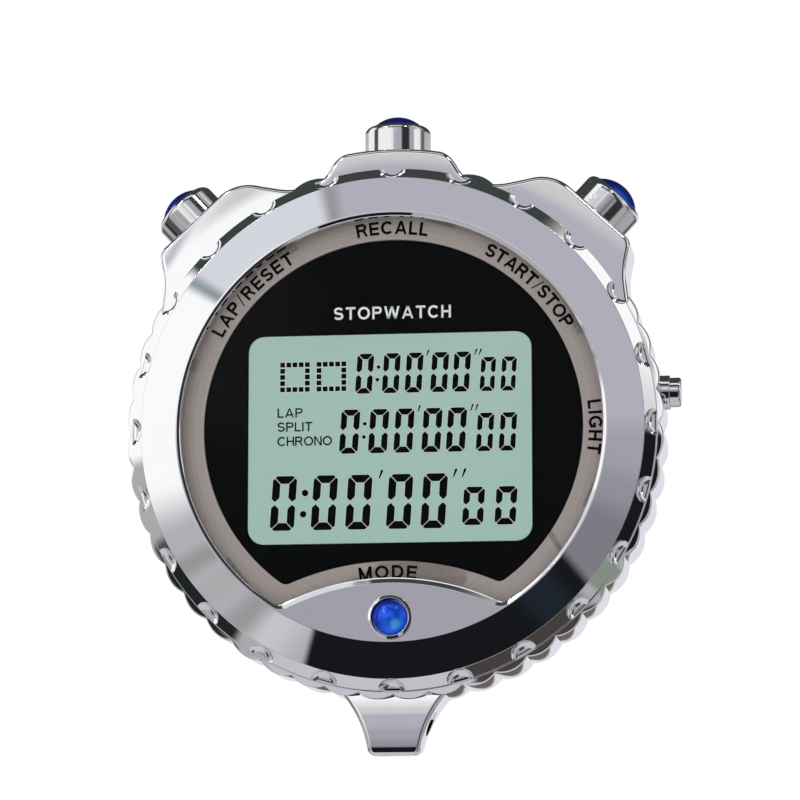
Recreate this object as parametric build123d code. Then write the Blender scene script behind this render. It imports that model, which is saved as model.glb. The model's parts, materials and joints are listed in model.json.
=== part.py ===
from build123d import *
import os
from math import cos, radians, sin

# A hand-held digital stopwatch: chromed metal case, liquid-crystal display, three large push-buttons
# around the top, a small light button at the right and a mode button under the window.
#
# Every piece is drawn with the watch lying on its back: X to the right of the dial, Y to the top of the
# dial and Z the height above the back face. write_node() then stands it upright, so that in the files
# +X is the dial's right, +Z the dial's top and -Y the way the dial faces. All lengths are millimetres.

# ---- driving dimensions: the case seen from the front ----
OPENING_R = 26.7             # edge of the bezel's lip around the lens
LIP_WIDTH = 0.4              # sloping width of that lip
LIP_DROP = 0.35              # and how far it slopes down
BAND_OUTER_R = 31.8          # outer edge of the polished band
BEZEL_R = 33.2               # outer edge of the bevel
LOBE_CREST_R = 34.1
LOBE_VALLEY_R = 33.5
LOBE_COUNT = 48
SCOOP_COUNT = 24             # ball-ended hollows cut in the bevel, one over every second valley
SCOOP_R = 2.1
CAVITY_R = 28.9
REAR_OPENING_R = 27.9
LENS_R = 28.6
SKIRT_R = 31.4               # the bezel's skirt, which enters the case

# ---- driving dimensions: heights above the back face ----
COVER_TOP = 1.4
CASE_LEDGE = 6.0             # the movement ring stands on this ledge
LOBE_REAR = 7.2
LOBE_FRONT = 16.2
BOSS_REAR = 6.4
BOSS_FRONT = 16.3
SKIRT_BOTTOM = 14.9
BEZEL_SEAT = 16.35
BEVEL_FOOT = 16.9
BAND_OUTER_TOP = 18.2
BEZEL_TOP = 19.0
LIP_BOTTOM = 17.9
LENS_BACK = 16.8
RING_THICKNESS = 0.3         # stamped dial ring
PLATE_THICKNESS = 0.6        # dial plate
BUTTON_AXIS = 11.2

# ---- the bridge under the window, a crescent that carries the mode button ----
BRIDGE_CENTRE_Y = -50.0
BRIDGE_R = 30.1
FIELD_R = 24.0               # edge of the dial's black field
FIELD_GAP = 3.0              # width of the dial ring along the bridge
MODE_Y = -24.2
MODE_BORE_R = 2.5

# ---- lug ----
LUG_BOTTOM = -41.0
LUG_FRONT = 15.6
LUG_REAR = 7.6               # at its root
LUG_TIP_REAR = 12.0          # at its tip
LUG_HOLE_Y = -37.0
LUG_HOLE_Z = 12.7

# ---- push-buttons ----
SIDE_ANGLE = 43.0            # LAP/RESET and START/STOP, to each side of the top
LIGHT_Y = 4.6                # the light button points straight to the right, above the dial's middle
RECALL_PLATEAU = 36.0        # distance of each boss's outer face from the dial axis
SIDE_PLATEAU = 37.6
BARREL_R = 4.2
RUNNING_GAP = 0.04           # radial clearance of everything that slides
RECALL_BARREL = 3.7          # how far the barrel stands out of its boss
SIDE_BARREL = 3.6
JEWEL_R = 3.2
JEWEL_RISE = 1.4
BUTTON_TRAVEL = 1.2
LIGHT_TRAVEL = 0.8
LIGHT_BUSH_R = 2.15
STEM_R = 1.2
STEM_END = 27.4              # inner end of a stem, measured from the dial axis
LIGHT_STEM_END = 26.5

# ---- display and movement ----
WINDOW_X = 36.0
WINDOW_Y = 26.6
WINDOW_CENTRE_X = -0.4
WINDOW_CENTRE_Y = -1.3
WINDOW_CORNER = 2.1
CELL_X = 41.0                # display cell: full back sheet, narrower front sheet
CELL_BACK_Y = 33.0
CELL_FRONT_Y = 30.0
CELL_JOINT = 15.0            # height where its two sheets meet
GUIDE_X = 37.5               # light guide behind the cell, with its lamp at the right-hand end
GUIDE_Y = 27.0
GUIDE_BACK = 12.8
LAMP_X = 1.5
LAMP_Y = 3.0
LAMP_OFFSET_X = 19.55
STRIP_X = 34.0               # rubber connectors above and below the light guide
STRIP_Y = 1.8
STRIP_OFFSET_Y = 15.3
DROP_IN = 0.1                # clearance of a piece that drops into a moulded recess
PCB_BOTTOM = 9.5
PCB_TOP = 10.5
HOLDER_STEP = 13.6           # underside of the display holder's flange
LCD_BACK = 14.1
HOLDER_BODY_R = 25.0
PCB_R = 26.1
PCB_SCREW_X = 20.0
PCB_SCREW_Y = 8.0
BATTERY_Y = 8.0
BATTERY_R = 10.0
BATTERY_TOP = 9.1
BATTERY_THICKNESS = 3.2
BUZZER_Y = -12.0
COVER_SCREW_R = 30.0
COVER_SCREW_COUNT = 6

RING_FRONT = LENS_BACK
PLATE_FRONT = RING_FRONT - RING_THICKNESS
LCD_FRONT = PLATE_FRONT - PLATE_THICKNESS


# ---- helpers ----

def polar(radius, angle):
    """Point at a distance from the dial axis, at an angle clockwise from the top of the dial."""
    return (radius * sin(radians(angle)), radius * cos(radians(angle)))


def prism(sketch, bottom, top):
    """Straight-sided solid between two heights."""
    return Pos(0, 0, bottom) * extrude(sketch, top - bottom)


def disc(radius, bottom, top, x=0.0, y=0.0):
    return Pos(x, y, 0) * prism(Circle(radius), bottom, top)


def tube(outer_r, inner_r, bottom, top, x=0.0, y=0.0):
    return Pos(x, y, 0) * prism(Circle(outer_r) - Circle(inner_r), bottom, top)


def block(size_x, size_y, bottom, top, x=0.0, y=0.0, corner=0.0):
    outline = RectangleRounded(size_x, size_y, corner) if corner else Rectangle(size_x, size_y)
    return Pos(x, y, 0) * prism(outline, bottom, top)


def spun(points):
    """Solid of revolution about the dial axis from (radius, height) points."""
    corners = [(radius, 0, height) for radius, height in points]
    return revolve(make_face(Polyline(*corners, close=True)), Axis.Z)


def coil_spring(mean_r, wire_r, bottom, top, turns):
    """Open coil spring along Z, ending one wire radius inside each limit."""
    height = top - bottom - 2 * wire_r
    path = Helix(pitch=height / turns, height=height, radius=mean_r)
    section = Plane(origin=path @ 0, z_dir=path % 0) * Circle(wire_r)
    return Pos(0, 0, bottom + wire_r) * sweep(section, path=path)


def along_radius(shape, angle, height=BUTTON_AXIS):
    """Turn a piece drawn about +Z so that its axis runs outwards from the dial axis."""
    out_x, out_y = polar(1, angle)
    return Plane(origin=(0, 0, height), x_dir=(0, 0, 1), z_dir=(out_x, out_y, 0)).location * shape


def to_light(shape):
    """Turn a piece drawn about +Z onto the light button's axis."""
    return Pos(0, LIGHT_Y, 0) * along_radius(shape, 90)


def around(shape, count, first_angle=0.0):
    """Copies of a piece spaced evenly around the dial axis."""
    return [Rot(0, 0, first_angle + 360 / count * k) * shape for k in range(count)]


def at_pcb_screws(shape):
    """Copies of a piece at the four screws of the circuit board."""
    places = [(x, y) for x in (PCB_SCREW_X, -PCB_SCREW_X) for y in (PCB_SCREW_Y, -PCB_SCREW_Y)]
    return [Pos(x, y, 0) * shape for x, y in places]


def window_outline(circle_r, bridge_r, corner):
    """A round outline whose lower side is cut by the bridge's arc, with softened corners."""
    outline = Circle(circle_r) - Pos(0, BRIDGE_CENTRE_Y) * Circle(bridge_r)
    return fillet(outline.vertices().filter_by(lambda v: v.Y < 0), corner)


def edges_at_height(shape, height):
    return shape.edges().filter_by_position(Axis.Z, height - 0.01, height + 0.01)


# ---- front of the case ----

def bezel_blank():
    """Turned bezel: flat centre, gently sloping band, bevel, and a skirt that enters the case."""
    flat_edge_r = OPENING_R + LIP_WIDTH + 0.05
    return spun([
        (0, SKIRT_BOTTOM), (SKIRT_R, SKIRT_BOTTOM), (SKIRT_R, BEZEL_SEAT), (BEZEL_R, BEZEL_SEAT),
        (BEZEL_R, BEVEL_FOOT), (BAND_OUTER_R, BAND_OUTER_TOP), (flat_edge_r, BEZEL_TOP), (0, BEZEL_TOP),
    ])


def scoops():
    """Balls that cut the half-moon hollows in the bevel, just breaking into the polished band."""
    into_band = 0.08
    ball = Pos(BAND_OUTER_R + SCOOP_R - into_band, 0, BAND_OUTER_TOP - 0.2) * Sphere(SCOOP_R)
    return around(ball, SCOOP_COUNT)


def front_bezel():
    """Bezel with the window, its sloping lip, the rebate for the lens and the mode button's bore."""
    rebate = 1.0                                   # how far the lens reaches under the bridge's lip
    opening = window_outline(OPENING_R, BRIDGE_R + LIP_WIDTH, 1.5)
    seat = window_outline(LENS_R + 0.1, BRIDGE_R - rebate, 1.0)
    bezel = bezel_blank() - prism(opening, 0, BEZEL_TOP + 1)
    lip_edges = edges_at_height(bezel, BEZEL_TOP).filter_by(lambda e: not is_outer_rim(e))
    bezel = chamfer(lip_edges, LIP_DROP, LIP_WIDTH)
    bezel -= prism(seat, 0, LIP_BOTTOM)
    bezel -= disc(LENS_R + 0.4, 0, LCD_FRONT)
    bezel -= disc(MODE_BORE_R, 0, BEZEL_TOP + 1, y=MODE_Y)
    return bezel - scoops()


def is_outer_rim(edge):
    """True for the circle where the flat centre of the bezel meets its sloping band."""
    middle = edge @ 0.5
    return abs((middle.X ** 2 + middle.Y ** 2) ** 0.5 - (OPENING_R + LIP_WIDTH + 0.05)) < 0.02


def lens():
    """Flat crystal, cut away where the bridge stands."""
    return prism(window_outline(LENS_R, BRIDGE_R - 0.9, 1.0), LENS_BACK, LIP_BOTTOM - 0.15)


def lens_gasket():
    """Thin sealing ring between the lens and the bezel's lip."""
    ring = window_outline(LENS_R, BRIDGE_R - 0.9, 1.0) - window_outline(27.3, BRIDGE_R + 0.3, 1.0)
    return prism(ring, LIP_BOTTOM - 0.15, LIP_BOTTOM)


def bezel_gasket():
    return tube(SKIRT_R - 0.5, SKIRT_R - 2.0, SKIRT_BOTTOM - 0.3, SKIRT_BOTTOM)


def dial_ring():
    """Stamped ring around the black field, following the bridge at the bottom."""
    field = window_outline(FIELD_R, BRIDGE_R + FIELD_GAP, 1.2)
    return prism(window_outline(LENS_R - 0.1, BRIDGE_R - 0.8, 1.0) - field, PLATE_FRONT, RING_FRONT)


def dial_plate():
    """Black plate with the display window."""
    outline = window_outline(LENS_R - 0.1, BRIDGE_R - 0.8, 1.0)
    window = Pos(WINDOW_CENTRE_X, WINDOW_CENTRE_Y) * RectangleRounded(WINDOW_X, WINDOW_Y, WINDOW_CORNER)
    return prism(outline - window, LCD_FRONT, PLATE_FRONT)


# ---- middle case ----

def lobed_outline():
    """Coin-edge outline: outward arcs that meet in sharp valleys."""
    pitch = 360 / LOBE_COUNT
    arcs = []
    for k in range(LOBE_COUNT):
        valley = polar(LOBE_VALLEY_R, k * pitch)
        crest = polar(LOBE_CREST_R, (k + 0.5) * pitch)
        next_valley = polar(LOBE_VALLEY_R, (k + 1) * pitch)
        arcs.append(ThreePointArc(valley, crest, next_valley))
    return make_face(arcs)


def side_boss_outline(angle):
    """Tapered boss with a flat outer face; its shoulder towards the top of the watch is rounder."""
    outline = Polygon(polar(33.0, 17.5), (6.2, SIDE_PLATEAU), (-7.4, SIDE_PLATEAU), polar(33.0, -20.0),
                      (0, 20), align=None)
    outline = fillet(outline.vertices().filter_by(lambda v: v.Y > 37 and v.X > 0), 1.8)
    outline = fillet(outline.vertices().filter_by(lambda v: v.Y > 37 and v.X < 0), 5.5)
    outline = Rot(0, 0, -abs(angle)) * outline
    return outline if angle > 0 else mirror(outline, Plane.YZ)


def recall_boss_outline():
    """Low pad concentric with the ring."""
    half_angle = 12.7
    left = polar(RECALL_PLATEAU, -half_angle)
    right = polar(RECALL_PLATEAU, half_angle)
    left_foot = polar(32.5, -half_angle - 1.5)
    right_foot = polar(32.5, half_angle + 1.5)
    rim = ThreePointArc(right, (0, RECALL_PLATEAU), left)
    sides = Polyline(left, left_foot, right_foot, right)
    outline = make_face([rim, *sides.edges()])
    return fillet(outline.vertices().filter_by(lambda v: v.Y > 34), 2.0)


def boss_plate():
    """The three bosses on one disc, blended into it and rounded front and rear."""
    core_r = 33.4
    outline = Circle(core_r) + side_boss_outline(SIDE_ANGLE) + side_boss_outline(-SIDE_ANGLE)
    outline += recall_boss_outline()
    corners = outline.vertices().filter_by(lambda v: abs((v.X ** 2 + v.Y ** 2) ** 0.5 - core_r) < 0.01)
    outline = fillet(corners.filter_by(lambda v: abs(v.X) > 10), 2.5)
    corners = outline.vertices().filter_by(lambda v: abs((v.X ** 2 + v.Y ** 2) ** 0.5 - core_r) < 0.01)
    outline = fillet(corners.filter_by(lambda v: abs(v.X) < 10), 0.85)
    plate = prism(outline, BOSS_REAR, BOSS_FRONT)
    plate = fillet(edges_at_height(plate, BOSS_FRONT), 0.8)
    return fillet(edges_at_height(plate, BOSS_REAR), 1.2)


def lug():
    """Flared lug at the bottom for a lanyard, rounded at its edges and thinner towards its tip."""
    bottom = LUG_BOTTOM
    tip_half = 3.4
    root_half = 9.6
    flank = [(root_half, -30.6), (5.2, -35.2), (tip_half, bottom + 0.9)]
    right = ThreePointArc(*flank)
    left = ThreePointArc(*[(-x, y) for x, y in flank])
    base = [flank[2], (tip_half - 0.15, bottom), (0.15 - tip_half, bottom), (-tip_half, flank[2][1])]
    top = [(-root_half, -30.6), (0, -27), (root_half, -30.6)]
    outline = make_face([right, *Polyline(*base).edges(), left, *Polyline(*top).edges()])
    outline = fillet(outline.vertices().filter_by(lambda v: v.Y < bottom + 0.3), 0.85)
    body = prism(outline, LUG_REAR, LUG_FRONT) - lug_taper()
    return fillet([e for e in body.edges() if is_lug_rim(e)], 0.7)


def lug_taper():
    """Wedge taken off the rear of the lug."""
    profile = Polyline((0, -33.0, LUG_REAR - 2), (0, -33.0, LUG_REAR), (0, LUG_BOTTOM, LUG_TIP_REAR),
                       (0, LUG_BOTTOM - 1, LUG_TIP_REAR), (0, LUG_BOTTOM - 1, LUG_REAR - 2), close=True)
    return Pos(-15, 0, 0) * extrude(make_face(profile), 30, dir=(1, 0, 0))


def is_lug_rim(edge):
    """True for the edges around the lug's front and tapered rear, below the ring."""
    middle = edge @ 0.5
    lowest = min((edge @ 0).Z, (edge @ 1).Z)
    highest = max((edge @ 0).Z, (edge @ 1).Z)
    on_front = lowest > LUG_FRONT - 0.01
    on_rear = highest < LUG_TIP_REAR + 0.01
    return middle.Y < -34.0 and (on_front or on_rear)


def lug_hole():
    return Pos(0, LUG_HOLE_Y, LUG_HOLE_Z) * Rot(0, 90, 0) * Cylinder(1.5, 30)


def button_pocket(angle, plateau):
    """Pocket for a button's barrel and the bore that guides its stem."""
    floor = plateau - 4.0
    pocket = disc(BARREL_R + RUNNING_GAP, floor, plateau + 3)
    guide = disc(STEM_R + RUNNING_GAP, CAVITY_R - 2, floor + 1)
    return along_radius(pocket + guide, angle)


def middle_case():
    """One casting: lobed ring, bosses, lug and the stepped rear that carries the back cover."""
    shell = spun([(0, COVER_TOP), (31.75, COVER_TOP), (32.4, 4.0), (33.0, LOBE_REAR),
                  (33.0, LOBE_FRONT), (0, LOBE_FRONT)])
    shell += boss_plate()
    lobes = prism(lobed_outline(), LOBE_REAR, LOBE_FRONT)
    shell = shell + lobes + lug()
    shell -= disc(CAVITY_R, CASE_LEDGE, 20)
    shell -= disc(REAR_OPENING_R, 0, 20)
    shell -= disc(SKIRT_R + 0.05, SKIRT_BOTTOM - 0.3, 20)
    shell -= tube(CAVITY_R, CAVITY_R - 0.7, 0, COVER_TOP + 0.6)
    shell -= around(disc(0.8, 0, 5.6, y=COVER_SCREW_R), COVER_SCREW_COUNT, 30)
    shell -= button_pocket(0, RECALL_PLATEAU)
    shell -= button_pocket(SIDE_ANGLE, SIDE_PLATEAU)
    shell -= button_pocket(-SIDE_ANGLE, SIDE_PLATEAU)
    shell -= to_light(disc(LIGHT_BUSH_R, CAVITY_R - 2, 40))
    return shell - lug_hole()


# ---- back of the case ----

def back_cover():
    """Screwed plate with a rounded edge and a spigot that centres it in the case."""
    cover = disc(31.6, 0, COVER_TOP)
    cover = fillet(edges_at_height(cover, 0), 0.7)
    cover += tube(REAR_OPENING_R - 0.1, 26.4, COVER_TOP, 3.0)
    cover -= tube(25.6, 25.2, -1, 0.15)
    cover -= around(screw_hole(), COVER_SCREW_COUNT, 30)
    return cover


def screw_hole():
    return Pos(0, COVER_SCREW_R, 0) * (disc(0.85, -1, 3) + spun([(0, 0), (1.32, 0), (0.85, 0.7), (0, 0.7)]))


def back_cover_screw():
    """Countersunk screw with a cross recess."""
    screw = spun([(0, 0.05), (1.25, 0.05), (0.8, 0.7), (0.8, 5.0), (0, 5.0)])
    cross = block(1.5, 0.3, 0, 0.4) + block(0.3, 1.5, 0, 0.4)
    return Pos(0, COVER_SCREW_R, 0) * (screw - cross)


def back_cover_screws():
    return around(back_cover_screw(), COVER_SCREW_COUNT, 30)


def case_gasket():
    return tube(CAVITY_R - 0.05, CAVITY_R - 0.65, COVER_TOP, COVER_TOP + 0.6)


# ---- display and electronics ----

def movement_ring():
    """Spacer that carries the display holder on the case's ledge, notched for the button stems."""
    ring = tube(28.8, 27.2, CASE_LEDGE, HOLDER_STEP)
    notch = block(5.0, 6.0, BUTTON_AXIS - 2.3, HOLDER_STEP + 1, y=CAVITY_R)
    for angle in (0, SIDE_ANGLE, -SIDE_ANGLE):
        ring -= Rot(0, 0, -angle) * notch
    return ring - Pos(0, LIGHT_Y, 0) * Rot(0, 0, -90) * notch


def behind_window(size_x, size_y, bottom, top, x=0.0, y=0.0):
    """Block placed from the middle of the display window."""
    return block(size_x, size_y, bottom, top, x=WINDOW_CENTRE_X + x, y=WINDOW_CENTRE_Y + y)


def zebra_strips():
    """Two rubber connectors that join the display's ledges to the board."""
    return [behind_window(STRIP_X, STRIP_Y, PCB_TOP, LCD_BACK, y=side * STRIP_OFFSET_Y) for side in (1, -1)]


def lcd_cell():
    """Display glass: a full back sheet, a narrower front sheet and a filter that fills the window."""
    rear_sheet = behind_window(CELL_X, CELL_BACK_Y, LCD_BACK, CELL_JOINT)
    front_sheet = behind_window(CELL_X, CELL_FRONT_Y, CELL_JOINT, LCD_FRONT)
    outline = RectangleRounded(WINDOW_X - DROP_IN, WINDOW_Y - DROP_IN, WINDOW_CORNER - DROP_IN / 2)
    front_filter = prism(Pos(WINDOW_CENTRE_X, WINDOW_CENTRE_Y) * outline, LCD_FRONT, PLATE_FRONT - 0.05)
    return rear_sheet + front_sheet + front_filter


def light_guide():
    return behind_window(GUIDE_X, GUIDE_Y, GUIDE_BACK, LCD_BACK)


def backlight_led():
    return behind_window(LAMP_X, LAMP_Y, GUIDE_BACK, GUIDE_BACK + 1.0, x=LAMP_OFFSET_X)


def lcd_holder():
    """Moulded tray for the display, its light guide and connectors, over the circuit board."""
    tray = disc(HOLDER_BODY_R, PCB_TOP, HOLDER_STEP) + disc(28.4, HOLDER_STEP, LCD_FRONT)
    tray -= behind_window(CELL_X + DROP_IN, CELL_BACK_Y + DROP_IN, LCD_BACK, 20)
    tray -= behind_window(GUIDE_X + DROP_IN, GUIDE_Y + DROP_IN, GUIDE_BACK, 20)
    tray -= behind_window(LAMP_X + 2 * DROP_IN, LAMP_Y + 2 * DROP_IN, GUIDE_BACK, 20, x=LAMP_OFFSET_X)
    for side in (1, -1):
        tray -= behind_window(STRIP_X + DROP_IN, STRIP_Y + DROP_IN, 0, 20, y=side * STRIP_OFFSET_Y)
    tray -= disc(0.9 + RUNNING_GAP, 0, 20, y=MODE_Y)
    tray -= disc(2.3, 0, HOLDER_STEP, y=MODE_Y)
    return tray - at_pcb_screws(disc(0.7, 0, 12.6))


def main_pcb():
    board = disc(PCB_R, PCB_BOTTOM, PCB_TOP)
    return board - at_pcb_screws(disc(0.75, 0, 20))


def pcb_screws():
    """Four pan-head screws that clamp the board to the display holder."""
    head = disc(1.2, 8.8, PCB_BOTTOM) - block(2.0, 0.3, 8.7, 9.1)
    return at_pcb_screws(head + disc(0.7, PCB_BOTTOM, 12.4))


def ic_blob():
    """Flattened epoxy dome over the bonded chip."""
    dome = Pos(-14, -12, PCB_BOTTOM + 6.5) * Sphere(8.0)
    return dome & block(12, 12, 5, PCB_BOTTOM, x=-14, y=-12)


def crystal():
    return Pos(15.5, -14, PCB_BOTTOM - 1.0) * Rot(0, 90, 0) * Cylinder(1.0, 6.0)


def chip_capacitors():
    return [block(2.0, 1.25, 8.6, PCB_BOTTOM, x=15.5, y=y) for y in (-9.0, -6.6, -4.2)]


def switch_contact(width, outer_face):
    """Bent leaf at the board's edge, reached by a stem at the end of its travel."""
    upright = block(width, 0.2, PCB_TOP, 12.8, y=outer_face - 0.1)
    return upright + block(width, 0.8, PCB_TOP, PCB_TOP + 0.2, y=outer_face - 0.6)


def switch_contacts():
    reach = STEM_END - BUTTON_TRAVEL - 0.05
    contacts = [Rot(0, 0, -angle) * switch_contact(3.0, reach) for angle in (0, SIDE_ANGLE, -SIDE_ANGLE)]
    light_reach = LIGHT_STEM_END - LIGHT_TRAVEL - 0.05
    return contacts + [Pos(0, LIGHT_Y, 0) * Rot(0, 0, -90) * switch_contact(2.0, light_reach)]


def mode_switch_dome():
    """Shallow snap dome under the mode button."""
    dome = Pos(0, MODE_Y, PCB_TOP - 6.35) * Sphere(6.6)
    return dome & disc(1.8, PCB_TOP, 12, y=MODE_Y)


def battery():
    """Lithium coin cell, 20 mm by 3.2 mm, with a stepped rim."""
    bottom = BATTERY_TOP - BATTERY_THICKNESS
    cell = disc(BATTERY_R, bottom, BATTERY_TOP - 0.4, y=BATTERY_Y)
    cell = fillet(edges_at_height(cell, bottom), 0.3)
    return cell + disc(BATTERY_R - 1.2, BATTERY_TOP - 0.4, BATTERY_TOP, y=BATTERY_Y)


def battery_cradle():
    cradle = tube(11.5, 10.15, 6.6, PCB_BOTTOM, y=BATTERY_Y)
    return cradle - block(7.0, 30.0, 0, 20, y=BATTERY_Y)


def battery_clip():
    """Strap over the cell, bent up to the board at both ends."""
    strap_bottom = BATTERY_TOP - BATTERY_THICKNESS - 0.3
    strap = block(6.0, 23.0, strap_bottom, strap_bottom + 0.3, y=BATTERY_Y)
    for side in (1, -1):
        strap += block(6.0, 0.3, strap_bottom, PCB_BOTTOM, y=BATTERY_Y + 11.35 * side)
    return strap


def negative_contact():
    return block(4.0, 12.0, BATTERY_TOP, PCB_BOTTOM, y=BATTERY_Y)


def buzzer_plate():
    return disc(10.0, COVER_TOP, COVER_TOP + 0.25, y=BUZZER_Y)


def buzzer_ceramic():
    return disc(7.0, COVER_TOP + 0.25, COVER_TOP + 0.45, y=BUZZER_Y)


def buzzer_springs():
    """Two springs that feed the buzzer from the board: one on the ceramic, one on the brass rim."""
    on_ceramic = Pos(-3, BUZZER_Y, 0) * coil_spring(0.9, 0.15, COVER_TOP + 0.45, PCB_BOTTOM, 8)
    on_rim = Pos(8.5, BUZZER_Y, 0) * coil_spring(0.9, 0.15, COVER_TOP + 0.25, PCB_BOTTOM, 8)
    return [on_ceramic, on_rim]


# ---- push-buttons, drawn along +Z and then turned outwards ----

def jewel_cap(base, radius=JEWEL_R, rise=JEWEL_RISE):
    """Blue cabochon: a short cylinder under a spherical cap."""
    ball_r = (radius ** 2 + rise ** 2) / (2 * rise)
    cap = Pos(0, 0, base + rise - ball_r) * Sphere(ball_r) & disc(radius, base, base + rise)
    return cap + disc(radius, base - 0.5, base)


def stem_with_grooves(stem_r, end, top, clip_bottom, ring_centre):
    """Stem with a groove for its clip and one for its seal."""
    stem = disc(stem_r, end, top)
    stem -= tube(stem_r + 1, stem_r - 0.4, clip_bottom, clip_bottom + 0.3)
    return stem - tube(stem_r + 1, stem_r - 0.36, ring_centre - 0.24, ring_centre + 0.24)


def barrel_button(plateau, barrel_top):
    """Turned button: rounded barrel, hollow below for its spring, on a stem."""
    barrel = disc(BARREL_R, plateau - 1.6, barrel_top)
    barrel = fillet(edges_at_height(barrel, barrel_top), 0.9)
    barrel -= disc(3.1, plateau - 2, barrel_top - 1.8)
    barrel -= disc(JEWEL_R, barrel_top - 0.5, barrel_top + 1)
    return barrel + stem_with_grooves(STEM_R, STEM_END, barrel_top - 1.8, 28.4, seal_height(plateau))


def seal_height(plateau):
    return plateau - 4.8


def stem_seal(stem_r, centre):
    """O-ring squeezed between its groove and the guide bore."""
    return Pos(0, 0, centre) * Torus(stem_r - 0.15, 0.18)


def stem_clip(stem_r, bottom, outer_r):
    """E-clip: a washer with a slot, held in the stem's groove."""
    ring = tube(outer_r, stem_r - 0.4, bottom, bottom + 0.3)
    slot = Pos(0, outer_r, 0) * prism(Rectangle(1.2 * stem_r, 2 * outer_r), bottom - 1, bottom + 1)
    return ring - slot


def barrel_button_set(name, angle, plateau, stand_out):
    """Every piece of one large button."""
    top = plateau + stand_out
    spring = coil_spring(2.1, 0.2, plateau - 4.0, top - 1.8, 5)
    return {
        f"{name}_button": along_radius(barrel_button(plateau, top), angle),
        f"{name}_jewel": along_radius(jewel_cap(top), angle),
        f"{name}_spring": along_radius(spring, angle),
        f"{name}_o_ring": along_radius(stem_seal(STEM_R, seal_height(plateau)), angle),
        f"{name}_clip": along_radius(stem_clip(STEM_R, 28.4, 2.0), angle),
    }


def light_button_set():
    """The small light button and the bush it slides in."""
    stem_r = 0.8
    bush = tube(LIGHT_BUSH_R, stem_r + RUNNING_GAP, 29.6, 32.0) + tube(LIGHT_BUSH_R, 1.9, 32.0, 34.6)
    head = disc(1.86, 33.4, 36.0)
    head = fillet(edges_at_height(head, 36.0), 0.35)
    button = head + stem_with_grooves(stem_r, LIGHT_STEM_END, 33.4, 28.2, 31.3)
    return {
        "light_button": to_light(button),
        "light_bush": to_light(bush),
        "light_spring": to_light(coil_spring(1.35, 0.12, 32.0, 33.4, 2.5)),
        "light_o_ring": to_light(stem_seal(stem_r, 31.3)),
        "light_clip": to_light(stem_clip(stem_r, 28.2, 1.5)),
    }


def mode_button_set():
    """The mode button: a bush in the bridge, a plunger with a blue cabochon, spring and clip."""
    place = Pos(0, MODE_Y, 0)
    bush = tube(MODE_BORE_R, 2.35, LCD_FRONT, BEZEL_TOP) + tube(2.75, 2.35, BEZEL_TOP, BEZEL_TOP + 0.45)
    bush = chamfer(edges_at_height(bush, BEZEL_TOP + 0.45), 0.12)
    stem_r = 0.9
    plunger = disc(2.35 - RUNNING_GAP, 17.4, 18.7) + disc(stem_r, 11.5, 17.4)
    plunger -= tube(stem_r + 1, stem_r - 0.4, 13.2, 13.5)
    return {
        "mode_button": place * plunger,
        "mode_jewel": place * (jewel_cap(19.2, radius=2.15, rise=1.0)),
        "mode_bush": place * bush,
        "mode_spring": place * coil_spring(1.55, 0.1, LCD_FRONT, 17.4, 3),
        "mode_clip": place * stem_clip(stem_r, 13.2, 1.8),
    }


# ---- all nodes ----

FIXED_NODES = {
    "front_bezel": front_bezel, "bezel_gasket": bezel_gasket, "lens": lens, "lens_gasket": lens_gasket,
    "dial_ring": dial_ring, "dial_plate": dial_plate, "middle_case": middle_case,
    "case_gasket": case_gasket, "back_cover": back_cover, "back_cover_screws": back_cover_screws,
    "movement_ring": movement_ring, "lcd_holder": lcd_holder, "lcd_cell": lcd_cell,
    "light_guide": light_guide, "backlight_led": backlight_led, "zebra_strips": zebra_strips,
    "main_pcb": main_pcb, "pcb_screws": pcb_screws, "ic_blob": ic_blob, "crystal": crystal,
    "chip_capacitors": chip_capacitors, "switch_contacts": switch_contacts,
    "mode_switch_dome": mode_switch_dome, "battery_cradle": battery_cradle, "battery": battery,
    "battery_clip": battery_clip, "negative_contact": negative_contact, "buzzer_plate": buzzer_plate,
    "buzzer_ceramic": buzzer_ceramic, "buzzer_springs": buzzer_springs,
}


def write_node(name, shape):
    """Stand a piece upright and save it; a list of solids is kept as one group."""
    solids = shape if isinstance(shape, list) else [shape]
    upright = [Rot(90, 0, 0) * solid for solid in solids]
    node = upright[0] if len(upright) == 1 else Compound(children=upright)
    export_step(node, f"parts/{name}.step")


def main():
    os.makedirs("parts", exist_ok=True)
    for name, build in FIXED_NODES.items():
        write_node(name, build())
    moving = {
        **barrel_button_set("recall", 0, RECALL_PLATEAU, RECALL_BARREL),
        **barrel_button_set("start_stop", SIDE_ANGLE, SIDE_PLATEAU, SIDE_BARREL),
        **barrel_button_set("lap_reset", -SIDE_ANGLE, SIDE_PLATEAU, SIDE_BARREL),
        **light_button_set(),
        **mode_button_set(),
    }
    for name, shape in moving.items():
        write_node(name, shape)


main()
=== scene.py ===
import json
import math

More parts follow.
